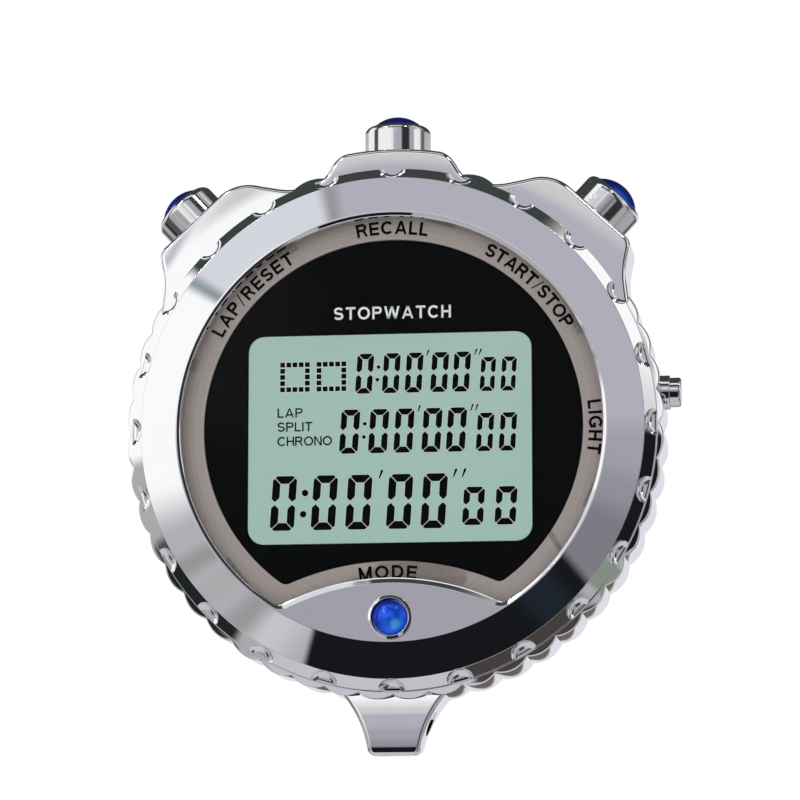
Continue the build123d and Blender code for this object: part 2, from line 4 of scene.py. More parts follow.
import bmesh
import bpy
import numpy as np
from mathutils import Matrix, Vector


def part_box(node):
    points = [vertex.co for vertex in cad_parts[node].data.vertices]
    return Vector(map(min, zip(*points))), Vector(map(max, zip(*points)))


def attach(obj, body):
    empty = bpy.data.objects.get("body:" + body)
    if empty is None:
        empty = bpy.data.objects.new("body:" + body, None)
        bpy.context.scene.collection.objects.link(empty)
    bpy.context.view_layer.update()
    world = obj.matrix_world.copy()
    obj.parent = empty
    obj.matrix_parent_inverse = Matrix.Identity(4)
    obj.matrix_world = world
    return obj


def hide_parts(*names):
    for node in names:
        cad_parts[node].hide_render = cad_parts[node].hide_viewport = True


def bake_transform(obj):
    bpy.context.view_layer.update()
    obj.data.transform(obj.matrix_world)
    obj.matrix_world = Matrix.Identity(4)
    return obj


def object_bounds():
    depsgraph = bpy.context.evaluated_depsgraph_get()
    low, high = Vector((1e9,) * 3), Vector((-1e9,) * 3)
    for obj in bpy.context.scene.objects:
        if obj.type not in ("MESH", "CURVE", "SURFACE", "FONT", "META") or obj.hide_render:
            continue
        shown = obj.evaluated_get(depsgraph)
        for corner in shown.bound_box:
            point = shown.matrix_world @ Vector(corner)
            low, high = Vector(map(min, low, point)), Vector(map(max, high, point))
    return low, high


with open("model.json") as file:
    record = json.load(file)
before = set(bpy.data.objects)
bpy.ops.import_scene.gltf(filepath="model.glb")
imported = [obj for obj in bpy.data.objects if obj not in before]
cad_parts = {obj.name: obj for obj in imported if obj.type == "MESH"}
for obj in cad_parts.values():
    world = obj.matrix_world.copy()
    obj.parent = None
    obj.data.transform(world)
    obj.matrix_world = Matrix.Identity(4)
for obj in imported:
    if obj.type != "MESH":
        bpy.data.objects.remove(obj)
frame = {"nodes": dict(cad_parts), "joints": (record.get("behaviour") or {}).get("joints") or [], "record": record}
CAD_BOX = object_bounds()

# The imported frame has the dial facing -Y and its top towards +Z. Shapes are drawn here in millimetres as
# (across, up, height): across to the dial's right, up to its top, height forward from the back face.
MM = 0.001
JOINTS = {joint["name"]: joint for joint in frame["joints"]}


def node_size(node, corner, axis):
    """One coordinate of a node's box, in millimetres: corner 0 is the lowest, 1 the highest."""
    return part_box(node)[corner][axis] / MM


def node_top(node):
    """Height of a node's front above the back face."""
    return -node_size(node, 0, 1)


def node_foot(node):
    """Height of a node's rear above the back face."""
    return -node_size(node, 1, 1)


# ---- sizes, in millimetres ----
BEZEL_R = node_size("front_bezel", 1, 0)
BEZEL_TOP = node_top("front_bezel")
SKIRT_BOTTOM = node_foot("front_bezel")
BEZEL_SEAT = 16.35
SKIRT_R = 31.4
SEAT_R = 28.7
BAND_OUTER_R = BEZEL_R - 1.4
BAND_INNER_R = 27.15
BAND_DROP = 0.8                     # how much the polished band falls towards its outer edge
BEVEL_DROP = 1.3
SCOOP_COUNT = 24
SCOOP_R = 2.1

OPENING_R = 26.7
OPENING_CORNER = 1.5
LIP_BOTTOM = node_top("lens_gasket")
LIP_WIDTH = 0.4                     # the lip is a narrow steep facet over the wall and a shallow one above it
LIP_DROP = 0.23
LIP_BREAK_RUN = 0.08
LIP_BREAK_DROP = 0.16
BRIDGE_STRETCH = 1.7                # how much wider, and so flatter, the lip is along the bridge
BRIDGE_UP = -50.0                   # centre of the arc that bounds the bridge under the window
BRIDGE_R = 30.1

LOBE_COUNT = 48
LOBE_CREST_R = 34.1
LOBE_VALLEY_R = 33.5
LOBE_REAR = 7.2
LOBE_FRONT = 16.2
FACET_R = 33.3                      # where the almond facets of the lobes begin
FACET_SLOPE = 0.9
CORE_R = 33.4
BOSS_REAR = 6.4
BOSS_FRONT = 16.3
BOSS_ROUND = 0.6
BOSS_REAR_ROUND = 1.2
BOSS_CROWN = 0.005                  # fall of the boss fronts, per square millimetre outwards of the rim
CROWN_R = 33.0
SIDE_PLATEAU = 37.6
RECALL_PLATEAU = 36.0
FURTHEST_R = 41.0                   # beyond every boss
CASE_INNER_R = 31.45
CAVITY_R = 28.9
CASE_LEDGE = 6.0
REAR_OPENING_R = 27.9
COVER_R = node_size("back_cover", 1, 0)
COVER_TOP = 1.4
COVER_SCREWS = 6
COVER_SCREW_R = 30.0

SIDE_BARREL = 3.6
RECALL_BARREL = 3.7
BARREL_ROOF = 1.8                   # metal over the spring, below the barrel's top
JEWEL_RISE = 1.4
POCKET_DEPTH = 4.0
STEM_R = 1.2
CLIP_GROOVE = 0.4
SEAL_GROOVE = 0.36
RUNNING_GAP = 0.04
BUTTON_AXIS = (node_top("recall_button") + node_foot("recall_button")) / 2
BARREL_R = (node_size("recall_button", 1, 0) - node_size("recall_button", 0, 0)) / 2
JEWEL_R = (node_size("recall_jewel", 1, 0) - node_size("recall_jewel", 0, 0)) / 2
LIGHT_UP = (node_size("light_button", 0, 2) + node_size("light_button", 1, 2)) / 2
LIGHT_BUSH_R = 2.15
LIGHT_SEAT = 32.0
LIGHT_HEAD_FOOT = 33.4
MODE_UP = (node_size("mode_bush", 0, 2) + node_size("mode_bush", 1, 2)) / 2
MODE_HEAD_FOOT = 17.4
MODE_CAP_BASE = 19.2

LUG_BOTTOM = CAD_BOX[0].z / MM
LUG_FRONT = 15.6
LUG_REAR = 7.6
LUG_ROOT = -33.0                    # where the lug leaves the rim
LUG_TIP_REAR = 12.0
LUG_DISH = 0.84                     # the front is a shallow dish, highest three quarters of the way down
LUG_HOLE_R = 1.5
LUG_HOLE_UP = -37.0
LUG_HOLE_HEIGHT = 12.7

LENS_R = 28.6
DIAL_R = 28.5
FIELD_R = 24.0                      # black field inside the ring of labels
FIELD_GAP = 3.0
WINDOW_ACROSS = 36.0
WINDOW_UP = 26.6
WINDOW_CORNER = 2.1
WINDOW_CENTRE = np.array([-0.4, -1.3])


# ---- mesh tools ----

def to_frame(points):
    """(across, up, height) in millimetres to the frame's metres."""
    points = np.asarray(points, float)
    return np.stack([points[..., 0], -points[..., 2], points[..., 1]], -1) * MM


def loft(loops, closed=False):
    """Skin over equal closed loops, as vertices and faces; a closed one joins its last loop to its first."""
    loops = [np.asarray(loop, float) for loop in loops]
    count = len(loops[0])
    vertices = np.concatenate(loops)
    faces = []
    rounds = len(loops) if closed else len(loops) - 1
    for k in range(rounds):
        here = k * count
        there = (k + 1) % len(loops) * count
        for i in range(count):
            j = (i + 1) % count
            faces.append((here + i, here + j, there + j, there + i))
    if not closed:
        faces.append(tuple(range(count)))
        faces.append(tuple(range(len(vertices) - 1, len(vertices) - 1 - count, -1)))
    return vertices, faces


def merged(*skins):
    """Several (vertices, faces) pairs as one."""
    vertices = []
    faces = []
    offset = 0
    for part_vertices, part_faces in skins:
        vertices.append(part_vertices)
        faces += [tuple(index + offset for index in face) for face in part_faces]
        offset += len(part_vertices)
    return np.concatenate(vertices), faces


def linked(name, data):
    """New object in the scene."""
    piece = bpy.data.objects.new(name, data)
    bpy.context.scene.collection.objects.link(piece)
    return piece


def new_object(name, skin):
    """Object from a skin given in dial millimetres, with outward normals and crisp edges kept."""
    vertices, faces = skin
    mesh = bpy.data.meshes.new(name)
    mesh.from_pydata(to_frame(vertices).tolist(), [], faces)
    shaper = bmesh.new()
    shaper.from_mesh(mesh)
    bmesh.ops.remove_doubles(shaper, verts=shaper.verts, dist=1e-8)
    bmesh.ops.dissolve_degenerate(shaper, edges=shaper.edges, dist=1e-8)
    bmesh.ops.recalc_face_normals(shaper, faces=shaper.faces)
    shaper.to_mesh(mesh)
    shaper.free()
    finish_shading(mesh)
    return linked(name, mesh)


def finish_shading(mesh):
    """Smooth faces with every edge kept crisp that turns by more than a little."""
    mesh.polygons.foreach_set("use_smooth", [True] * len(mesh.polygons))
    mesh.set_sharp_from_angle(angle=math.radians(28))
    mesh.update()


def settle(piece, slot, nodes=(), body="case", finish=None):
    """Give a piece its slot and material, make it ride on its body and stand for its CAD nodes."""
    piece.data.materials.clear()
    piece.data.materials.append(finish_of(finish or slot))
    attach(piece, body)
    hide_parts(*nodes)


def carve(piece, cutters):
    """Cut the volume of each cutter's skin out of a piece."""
    solids = [new_object("cutter", cutter) for cutter in cutters]
    for solid in solids:
        modifier = piece.modifiers.new("carve", "BOOLEAN")
        modifier.operation = "DIFFERENCE"
        modifier.solver = "MANIFOLD"
        modifier.object = solid
    graph = bpy.context.evaluated_depsgraph_get()
    carved = bpy.data.meshes.new_from_object(piece.evaluated_get(graph))
    piece.modifiers.clear()
    piece.data = carved
    finish_shading(carved)
    for solid in solids:
        bpy.data.objects.remove(solid)
    return piece


def gathered(name, pieces):
    """One piece from several."""
    gatherer = bmesh.new()
    for piece in pieces:
        gatherer.from_mesh(piece.data)
        bpy.data.objects.remove(piece)
    mesh = bpy.data.meshes.new(name)
    gatherer.to_mesh(mesh)
    gatherer.free()
    finish_shading(mesh)
    return linked(name, mesh)


# ---- curves ----

def rounded(corners, steps=6, support=0.04, closed=False):
    """Path through (a, b, radius) corners. A radius becomes an arc with a support point beside each end,
    so that wide faces next to it stay flat when shaded."""
    path = []
    count = len(corners)
    for i, (a, b, radius) in enumerate(corners):
        here = np.array([a, b], float)
        if radius == 0 or (not closed and i in (0, count - 1)):
            path.append(here)
            continue
        before = np.array(corners[i - 1][:2], float) - here
        after = np.array(corners[(i + 1) % count][:2], float) - here
        before /= np.linalg.norm(before)
        after /= np.linalg.norm(after)
        half = math.acos(max(-1, min(1, before @ after))) / 2
        reach = radius / math.tan(half)
        centre = here + (before + after) / np.linalg.norm(before + after) * radius / math.sin(half)
        start = here + before * reach - centre
        end = here + after * reach - centre
        turn = math.atan2(start[0] * end[1] - start[1] * end[0], start @ end)
        path.append(here + before * (reach + support))
        for t in np.linspace(0, turn, steps + 1):
            spun = np.array([start[0] * math.cos(t) - start[1] * math.sin(t),
                             start[0] * math.sin(t) + start[1] * math.cos(t)])
            path.append(centre + spun)
        path.append(here + after * (reach + support))
    return path


def ring(radius, height, angles):
    """Loop about the dial axis at a height, of one radius or of one for each angle clockwise from the top."""
    return at_height(np.stack([radius * np.sin(angles), radius * np.cos(angles)], -1), height)


def even_angles(count):
    return np.linspace(0, 2 * math.pi, count, endpoint=False)


def turned(profile, samples=360, closed=False):
    """Skin of revolution about the dial axis from (radius, height) points."""
    angles = even_angles(samples)
    return loft([ring(radius, height, angles) for radius, height in profile], closed)


def shifted(outline, distance):
    """Closed outline with true corners, moved to the right of its own direction."""
    before = outline - np.roll(outline, 1, 0)
    after = np.roll(outline, -1, 0) - outline
    before /= np.linalg.norm(before, axis=1)[:, None]
    after /= np.linalg.norm(after, axis=1)[:, None]
    first = np.stack([before[:, 1], -before[:, 0]], -1)
    second = np.stack([after[:, 1], -after[:, 0]], -1)
    fullness = 1 + np.sum(first * second, axis=1)
    return outline + (first + second) / fullness[:, None] * distance


def at_height(outline, height):
    return np.column_stack([outline, np.full(len(outline), height)])


def moved(skin, across=0.0, up=0.0):
    return skin[0] + np.array([across, up, 0.0]), skin[1]


def aimed(skin, axis):
    """Turn a skin made about the dial axis so that its height runs along a horizontal-plane axis of the
    watch, outwards from the dial axis, at the height of the buttons."""
    out = Vector((axis[0], axis[2], 0)).normalized()
    out = np.array([out.x, out.y, 0.0])
    side = np.array([out[1], -out[0], 0.0])
    vertices, faces = skin
    forward = np.array([0.0, 0.0, 1.0])
    placed = (np.outer(vertices[:, 0], side) + np.outer(vertices[:, 1], forward)
              + np.outer(vertices[:, 2], out))
    return placed + forward * BUTTON_AXIS, faces


def outward(joint_name):
    """Direction in which a button stands out, from its joint's pressing axis."""
    return [-value for value in JOINTS[joint_name]["axis"]]


# ---- window outline: a circle whose lower side is cut by the bridge's arc ----
WINDOW_STEPS = {"circle": 760, "corner": 40, "bridge": 170}      # points on each half of the outline


def corner_centre(circle_r, bridge_r, corner_r):
    """Centre of the arc that rounds the corner between the circle and the bridge."""
    reach = circle_r - corner_r
    gap = bridge_r + corner_r
    up = (reach ** 2 - gap ** 2 + BRIDGE_UP ** 2) / (2 * BRIDGE_UP)
    return math.sqrt(reach ** 2 - up ** 2), up


def window_curve(circle_r, bridge_r, corner_r, height):
    """Window outline at a height, clockwise from the top."""
    across, up = corner_centre(circle_r, bridge_r, corner_r)
    circle_end = math.atan2(across, up)
    bridge_start = math.atan2(across, up - BRIDGE_UP)
    on_circle = np.linspace(0, circle_end, WINDOW_STEPS["circle"], endpoint=False)
    on_corner = np.linspace(circle_end, bridge_start + math.pi, WINDOW_STEPS["corner"], endpoint=False)
    on_bridge = np.linspace(bridge_start, 0, WINDOW_STEPS["bridge"] + 1)
    right = np.concatenate([
        np.stack([circle_r * np.sin(on_circle), circle_r * np.cos(on_circle)], -1),
        np.stack([across + corner_r * np.sin(on_corner), up + corner_r * np.cos(on_corner)], -1),
        np.stack([bridge_r * np.sin(on_bridge), BRIDGE_UP + bridge_r * np.cos(on_bridge)], -1),
    ])
    left = right[-2:0:-1] * np.array([-1, 1])
    return at_height(np.concatenate([right, left]), height)


def window_angles():
    """Angles for plain circles that line up point by point with window_curve."""
    across, up = corner_centre(OPENING_R, BRIDGE_R, OPENING_CORNER)
    split = math.atan2(across, up)
    above = np.linspace(0, split, WINDOW_STEPS["circle"], endpoint=False)
    below = np.linspace(split, math.pi, WINDOW_STEPS["corner"] + WINDOW_STEPS["bridge"] + 1)
    right = np.concatenate([above, below])
    return np.concatenate([right, 2 * math.pi - right[-2:0:-1]])


# ---- bezel ----

def ball(radius, samples=72):
    """Sphere about the origin."""
    turns = np.linspace(-math.pi / 2 + 0.02, math.pi / 2 - 0.02, samples // 2)
    return turned([(radius * math.cos(t), radius * math.sin(t)) for t in turns], samples)


def scoop_balls():
    """Balls that cut the half-moon hollows in the bevel, just breaking into the polished band."""
    reach = BAND_OUTER_R + SCOOP_R - 0.08
    height = BEZEL_TOP - BAND_DROP - 0.2
    balls = []
    for angle in even_angles(SCOOP_COUNT):
        place = np.array([reach * math.sin(angle), reach * math.cos(angle), height])
        vertices, faces = ball(SCOOP_R)
        balls.append((vertices + place, faces))
    return balls


def bezel_front_profile():
    """From the top of the lip outwards over the band and the bevel to the seat."""
    band_end = BEZEL_TOP - BAND_DROP
    bevel_foot = band_end - BEVEL_DROP
    profile = rounded([(BAND_INNER_R, BEZEL_TOP, 0), (BAND_INNER_R + 0.12, BEZEL_TOP, 0.3),
                       (BAND_OUTER_R, band_end, 0.12), (BEZEL_R, bevel_foot, 0.06),
                       (BEZEL_R, BEZEL_SEAT, 0)], steps=5)
    return profile + [(BEZEL_R - 0.1, BEZEL_SEAT)]


def lip_profile():
    """(drop, run) from the foot of the lip's wall up over its two facets to the bezel's flat top."""
    wall = BEZEL_TOP - LIP_BOTTOM
    return rounded([(wall, 0, 0), (LIP_DROP, 0, 0.02), (LIP_BREAK_DROP, LIP_BREAK_RUN, 0.02),
                    (0, LIP_WIDTH, 0.05), (0, LIP_WIDTH + 0.1, 0)], steps=4, support=0.01)[:-1]


def bezel():
    angles = window_angles()
    lip = []
    for drop, run in lip_profile():
        bridge_r = BRIDGE_R + (LIP_WIDTH - run) * BRIDGE_STRETCH
        lip.append(window_curve(OPENING_R + run, bridge_r, OPENING_CORNER + run, BEZEL_TOP - drop))
    front = [ring(radius, height, angles) for radius, height in bezel_front_profile()]
    rear = [ring(SKIRT_R, BEZEL_SEAT, angles), ring(SKIRT_R, SKIRT_BOTTOM, angles),
            ring(SEAT_R + 0.3, SKIRT_BOTTOM, angles), ring(SEAT_R + 0.3, node_foot("dial_plate"), angles),
            window_curve(SEAT_R, BRIDGE_R - 1.0, 1.0, node_foot("dial_plate")),
            window_curve(SEAT_R, BRIDGE_R - 1.0, 1.0, LIP_BOTTOM)]
    piece = new_object("bezel", loft(lip + front + rear, closed=True))
    bore = moved(turned([(2.5, SKIRT_BOTTOM - 1), (2.5, BEZEL_TOP + 1)], 128), 0, MODE_UP)
    return carve(piece, [bore] + scoop_balls())


# ---- middle case ----

def polygon_distance(across, up, corners):
    """Signed distance from points to a convex polygon, negative inside; corners run anticlockwise."""
    nearest = np.full(across.shape, 1e9)
    inside = np.full(across.shape, -1e9)
    for (ax, ay), (bx, by) in zip(corners, np.roll(corners, -1, 0)):
        edge_x, edge_y = bx - ax, by - ay
        length = math.hypot(edge_x, edge_y)
        along = ((across - ax) * edge_x + (up - ay) * edge_y) / length ** 2
        along = np.clip(along, 0, 1)
        nearest = np.minimum(nearest, np.hypot(across - ax - along * edge_x, up - ay - along * edge_y))
        side = ((across - ax) * edge_y - (up - ay) * edge_x) / length
        inside = np.maximum(inside, side)
    return np.where(inside > 0, nearest, inside)


def blend_union(first, second, reach):
    """Union of two distance fields with a soft inner corner."""
    overlap = np.maximum(reach - np.abs(first - second), 0) / reach
    return np.minimum(first, second) - overlap ** 2 * reach / 4


def boss_distance(across, up):
    """Distance field of the core disc with its three bosses; both side bosses are folded onto the right."""
    field = np.hypot(across, up) - CORE_R
    out = outward("start_stop_press")
    sideways = np.abs(across) * out[2] - up * out[0]
    forwards = np.abs(across) * out[0] + up * out[2]
    field = blend_union(field, side_boss_distance(sideways, forwards), 3.0)
    return blend_union(field, recall_pad_distance(across, up), 1.6)


def side_boss_distance(sideways, forwards):
    """Boss with a tight outer corner and a full, round shoulder towards the top of the watch."""
    tight = boss_half(sideways, forwards, 6.2, 17.5, 1.8)
    full = boss_half(-sideways, forwards, 7.4, 20.0, 5.5)
    return np.where(sideways > 0, tight, full)


def boss_half(sideways, forwards, half_width, foot_angle, corner_r):
    """One half of a boss, from its middle line to a flank with a rounded corner."""
    foot = math.radians(foot_angle)
    foot_across = CROWN_R * math.sin(foot)
    foot_out = CROWN_R * math.cos(foot)
    corners = [(half_width, SIDE_PLATEAU), (-half_width, SIDE_PLATEAU), (-foot_across, foot_out), (0, 15),
               (foot_across, foot_out)]
    return polygon_distance(sideways, forwards, shifted(np.array(corners), -corner_r)) - corner_r


def recall_pad_distance(across, up):
    """Pad concentric with the ring, 16 mm wide, with rounded ends."""
    corner_r = 2.0
    radius = np.hypot(across, up)
    half_width = 7.85 + 0.25 * (RECALL_PLATEAU - radius)
    sideways = np.abs(np.arctan2(across, up)) * radius - half_width + corner_r
    outwards = radius - RECALL_PLATEAU + corner_r
    outside = np.hypot(np.maximum(sideways, 0), np.maximum(outwards, 0))
    return outside + np.minimum(np.maximum(sideways, outwards), 0) - corner_r


def boss_outline(samples=2400):
    """Outline of the disc with bosses, found by halving along each ray from the dial axis."""
    angles = even_angles(samples)
    near = np.full(samples, 30.0)
    far = np.full(samples, FURTHEST_R)
    for _ in range(40):
        middle = (near + far) / 2
        outside = boss_distance(middle * np.sin(angles), middle * np.cos(angles)) > 0
        far = np.where(outside, middle, far)
        near = np.where(outside, near, middle)
    return np.stack([near * np.sin(angles), near * np.cos(angles)], -1)


def inset(outline, distance):
    """Closed smooth clockwise outline moved inwards."""
    tangent = np.roll(outline, -1, 0) - np.roll(outline, 1, 0)
    tangent /= np.linalg.norm(tangent, axis=1)[:, None]
    inward = np.stack([tangent[:, 1], -tangent[:, 0]], -1)
    return outline + inward * distance


def rounded_plate(outline, bottom, top, front_r, rear_r, inner_loops, steps=8):
    """Loops of a plate with rounded outer edges; inner_loops gives the loops at its inner wall."""
    beside = 0.06
    turns = np.linspace(0, math.pi / 2, steps + 1)
    loops = []
    for turn in turns:
        height = bottom + rear_r * (1 - math.cos(turn))
        loops.append(at_height(inset(outline, rear_r * (1 - math.sin(turn))), height))
    loops.append(at_height(outline, bottom + rear_r + 0.05))
    loops.append(at_height(outline, top - front_r - 0.05))
    for turn in turns:
        height = top - front_r * (1 - math.sin(turn))
        loops.append(at_height(inset(outline, front_r * (1 - math.cos(turn))), height))
    edge = at_height(inset(outline, front_r + beside), top)
    for t in (0, 0.2, 0.4, 0.6, 0.8):
        loops.append(edge + (inner_loops[0] - edge) * t)
    loops += inner_loops
    loops.append(at_height(inset(outline, rear_r + beside), bottom))
    return loops


def boss_plate():
    """The three bosses on one disc, crowned a little beyond the rim."""
    outline = boss_outline()
    angles = even_angles(len(outline))
    shelf = SKIRT_BOTTOM - 0.3
    inner = [ring(CASE_INNER_R, BOSS_FRONT, angles), ring(CASE_INNER_R, shelf, angles),
             ring(CAVITY_R, shelf, angles), ring(CAVITY_R, BOSS_REAR, angles)]
    loops = rounded_plate(outline, BOSS_REAR, BOSS_FRONT, BOSS_ROUND, BOSS_REAR_ROUND, inner)
    vertices, faces = loft(loops, closed=True)
    beyond = np.maximum(np.hypot(vertices[:, 0], vertices[:, 1]) - CROWN_R, 0)
    front = vertices[:, 2] > BUTTON_AXIS
    vertices[:, 2] -= np.where(front, BOSS_CROWN * beyond ** 2, 0)
    return vertices, faces


def lobe_radius(angles):
    """Coin-edge outline: arcs from valley to valley over a crest."""
    pitch = 2 * math.pi / LOBE_COUNT
    half_chord = LOBE_VALLEY_R * math.sin(pitch / 2)
    rise = LOBE_CREST_R - LOBE_VALLEY_R * math.cos(pitch / 2)
    arc_r = (half_chord ** 2 + rise ** 2) / (2 * rise)
    centre = LOBE_CREST_R - arc_r
    local = (angles % pitch) - pitch / 2
    return centre * np.cos(local) + np.sqrt(arc_r ** 2 - (centre * np.sin(local)) ** 2)


def lobed_ring(samples_per_lobe=24):
    """Lobed rim; a shallow cone turned on its front leaves an almond facet on every lobe."""
    angles = even_angles(LOBE_COUNT * samples_per_lobe)
    radius = lobe_radius(angles)
    rear_edge = 0.3
    inner_r = 32.0
    loops = [ring(radius - rear_edge, LOBE_REAR, angles), ring(radius, LOBE_REAR + rear_edge, angles)]
    facet = radius - FACET_R
    rounding = ((0, -0.22), (0.015, -0.09), (0.06, 0.02), (0.16, 0.144))      # inwards and up from the crest
    for inwards, rise in rounding:
        loops.append(ring(radius - inwards, LOBE_FRONT - facet * FACET_SLOPE + rise, angles))
    facet = facet - rounding[-1][0]
    for t in (0.5, 0.06, 0.0):
        loops.append(ring(FACET_R + facet * t, LOBE_FRONT - facet * FACET_SLOPE * t, angles))
    loops.append(ring(inner_r, LOBE_FRONT, angles))
    loops.append(ring(inner_r, LOBE_REAR, angles))
    return loft(loops, closed=True)


def rear_shell():
    """Stepped rear of the case, from the lobed rim back to the cover's seat."""
    shell_r = 33.0
    front = LOBE_REAR + 2
    profile = rounded([(REAR_OPENING_R, COVER_TOP, 0), (31.75, COVER_TOP, 0.25), (32.4, 4.0, 4.0),
                       (shell_r, LOBE_REAR, 0), (shell_r, front, 0), (CAVITY_R, front, 0),
                       (CAVITY_R, CASE_LEDGE, 0), (REAR_OPENING_R, CASE_LEDGE, 0)])
    return turned(profile, 720, closed=True)


def arc_through(start, middle, end, steps):
    """Points of the arc through three points."""
    (ax, ay), (bx, by), (cx, cy) = start, middle, end
    scale = 2 * (ax * (by - cy) + bx * (cy - ay) + cx * (ay - by))
    sums = [x * x + y * y for x, y in (start, middle, end)]
    centre = np.array([
        (sums[0] * (by - cy) + sums[1] * (cy - ay) + sums[2] * (ay - by)) / scale,
        (sums[0] * (cx - bx) + sums[1] * (ax - cx) + sums[2] * (bx - ax)) / scale])
    first = np.array(start) - centre
    last = np.array(end) - centre
    sweep = math.atan2(first[0] * last[1] - first[1] * last[0], first @ last)
    turns = np.linspace(0, sweep, steps)
    return [(centre[0] + first[0] * math.cos(t) - first[1] * math.sin(t),
             centre[1] + first[0] * math.sin(t) + first[1] * math.cos(t)) for t in turns]


def lug_stations(tip_r):
    """(up, pull) of the lug's cross-sections; pull is how much the rounded tip draws its sides in."""
    stations = [(up, 0.0) for up in np.linspace(-29.0, LUG_BOTTOM + tip_r, 48)]
    for turn in np.linspace(0, math.pi / 2, 11)[1:]:
        stations.append((LUG_BOTTOM + tip_r * (1 - math.sin(turn)), tip_r * (1 - math.cos(turn))))
    return stations


def lug():
    """Lug lofted downwards from inside the rim: flared flanks, dished front, rear that comes forward."""
    flank = np.array(arc_through((9.6, -30.6), (5.2, -35.2), (3.4, LUG_BOTTOM + 0.9), 40))[::-1]
    edge = 0.6
    loops = []
    for up, pull in lug_stations(tip_r=1.0):
        down = min(max((LUG_ROOT - up) / (LUG_ROOT - LUG_BOTTOM), 0), 1)
        half = np.interp(up, flank[:, 1], flank[:, 0]) - pull
        front = LUG_FRONT - LUG_DISH * (down - 0.75) ** 2 - 0.5 * pull
        rear = LUG_REAR + (LUG_TIP_REAR - LUG_REAR) * down + pull
        corners = [(-half, front, edge), (half, front, edge), (half, rear, edge), (-half, rear, edge)]
        section = rounded(corners, steps=6, support=0.06, closed=True)
        loops.append(np.array([(across, up, height) for across, height in section]))
    return loft(loops)


def pocket_cutter(joint_name, plateau):
    """Pocket of a large button with the guide bore of its stem."""
    floor = plateau - POCKET_DEPTH
    pocket_r = BARREL_R + RUNNING_GAP
    guide_r = STEM_R + RUNNING_GAP
    profile = [(guide_r, CAVITY_R - 2), (guide_r, floor), (pocket_r, floor), (pocket_r, plateau + 3)]
    return aimed(turned(profile, 128), outward(joint_name))


def lug_hole_cutter():
    """Cylinder across the lug."""
    vertices, faces = turned([(LUG_HOLE_R, -12.0), (LUG_HOLE_R, 12.0)], 96)
    return vertices[:, [2, 1, 0]] + np.array([0.0, LUG_HOLE_UP, LUG_HOLE_HEIGHT]), faces


def middle_case():
    """Bosses, lobed rim, rear shell and lug, pierced for the buttons."""
    bore = aimed(turned([(LIGHT_BUSH_R, CAVITY_R - 2), (LIGHT_BUSH_R, 38.0)], 96), outward("light_press"))
    pockets = [pocket_cutter("recall_press", RECALL_PLATEAU), pocket_cutter("start_stop_press", SIDE_PLATEAU),
               pocket_cutter("lap_reset_press", SIDE_PLATEAU), moved(bore, 0, LIGHT_UP)]
    pieces = [carve(new_object("bosses", boss_plate()), pockets),
              carve(new_object("lobes", lobed_ring()), pockets),
              carve(new_object("shell", rear_shell()), pockets),
              carve(new_object("lug", lug()), [lug_hole_cutter()])]
    return gathered("case_body", pieces)


# ---- back ----

def back_cover():
    """Screwed plate with a rounded edge, a turned groove and countersunk holes."""
    spigot_r = REAR_OPENING_R - 0.1
    hollow_r = 26.4
    spigot_top = 3.0
    groove = [(25.2, 0, 0), (25.2, 0.15, 0), (25.6, 0.15, 0), (25.6, 0, 0)]
    profile = rounded([(0.5, 0, 0), *groove, (COVER_R, 0, 0.7), (COVER_R, COVER_TOP, 0),
                       (spigot_r, COVER_TOP, 0), (spigot_r, spigot_top, 0), (hollow_r, spigot_top, 0),
                       (hollow_r, COVER_TOP, 0), (0.5, COVER_TOP, 0)], steps=8)
    countersink = turned([(1.34, -0.02), (1.32, 0.0), (0.85, 0.7), (0.85, 1.6)], 64)
    holes = [at_cover_screw(countersink, k) for k in range(COVER_SCREWS)]
    return carve(new_object("cover", turned(profile, 720)), holes)


def at_cover_screw(skin, k):
    angle = math.radians(30 + 360 / COVER_SCREWS * k)
    return moved(skin, COVER_SCREW_R * math.sin(angle), COVER_SCREW_R * math.cos(angle))


def cover_screws():
    """Countersunk screws with cross recesses."""
    profile = rounded([(0.05, 0.05, 0), (1.25, 0.05, 0.08), (0.8, 0.7, 0), (0.8, 5.0, 0)], 3, 0.02)
    cross = [box_skin(1.5, 0.3, -0.2, 0.4), box_skin(0.3, 1.5, -0.2, 0.4)]
    screws = []
    for k in range(COVER_SCREWS):
        screw = new_object("screw", at_cover_screw(turned(profile, 64), k))
        screws.append(carve(screw, [at_cover_screw(slot, k) for slot in cross]))
    return gathered("screws", screws)


def box_skin(size_across, size_up, bottom, top):
    corners = np.array([(-1, -1), (-1, 1), (1, 1), (1, -1)], float) * (size_across / 2, size_up / 2)
    return loft([at_height(corners, bottom), at_height(corners, top)])


# ---- dial and lens ----

def window_slab(outline, bottom, top):
    """Slab between two heights with a window outline."""
    return loft([window_curve(*outline, bottom), window_curve(*outline, top)])


def lens():
    outline = (LENS_R, BRIDGE_R - 0.9, 1.0)
    return new_object("crystal", window_slab(outline, node_foot("lens"), node_top("lens")))


DIAL_OUTLINE = (DIAL_R, BRIDGE_R - 0.8, 1.0)


def dial_ring():
    """Brushed ring with a small chamfer at its inner edge."""
    top = node_top("dial_ring")
    bottom = node_foot("dial_ring")
    inner = (FIELD_R, BRIDGE_R + FIELD_GAP, 1.2)
    outer = DIAL_OUTLINE
    edge = (FIELD_R + 0.05, BRIDGE_R + FIELD_GAP - 0.05, 1.25)
    loops = [window_curve(*inner, bottom), window_curve(*inner, top - 0.05), window_curve(*edge, top),
             window_curve(*outer, top), window_curve(*outer, bottom)]
    return new_object("ring", loft(loops, closed=True))


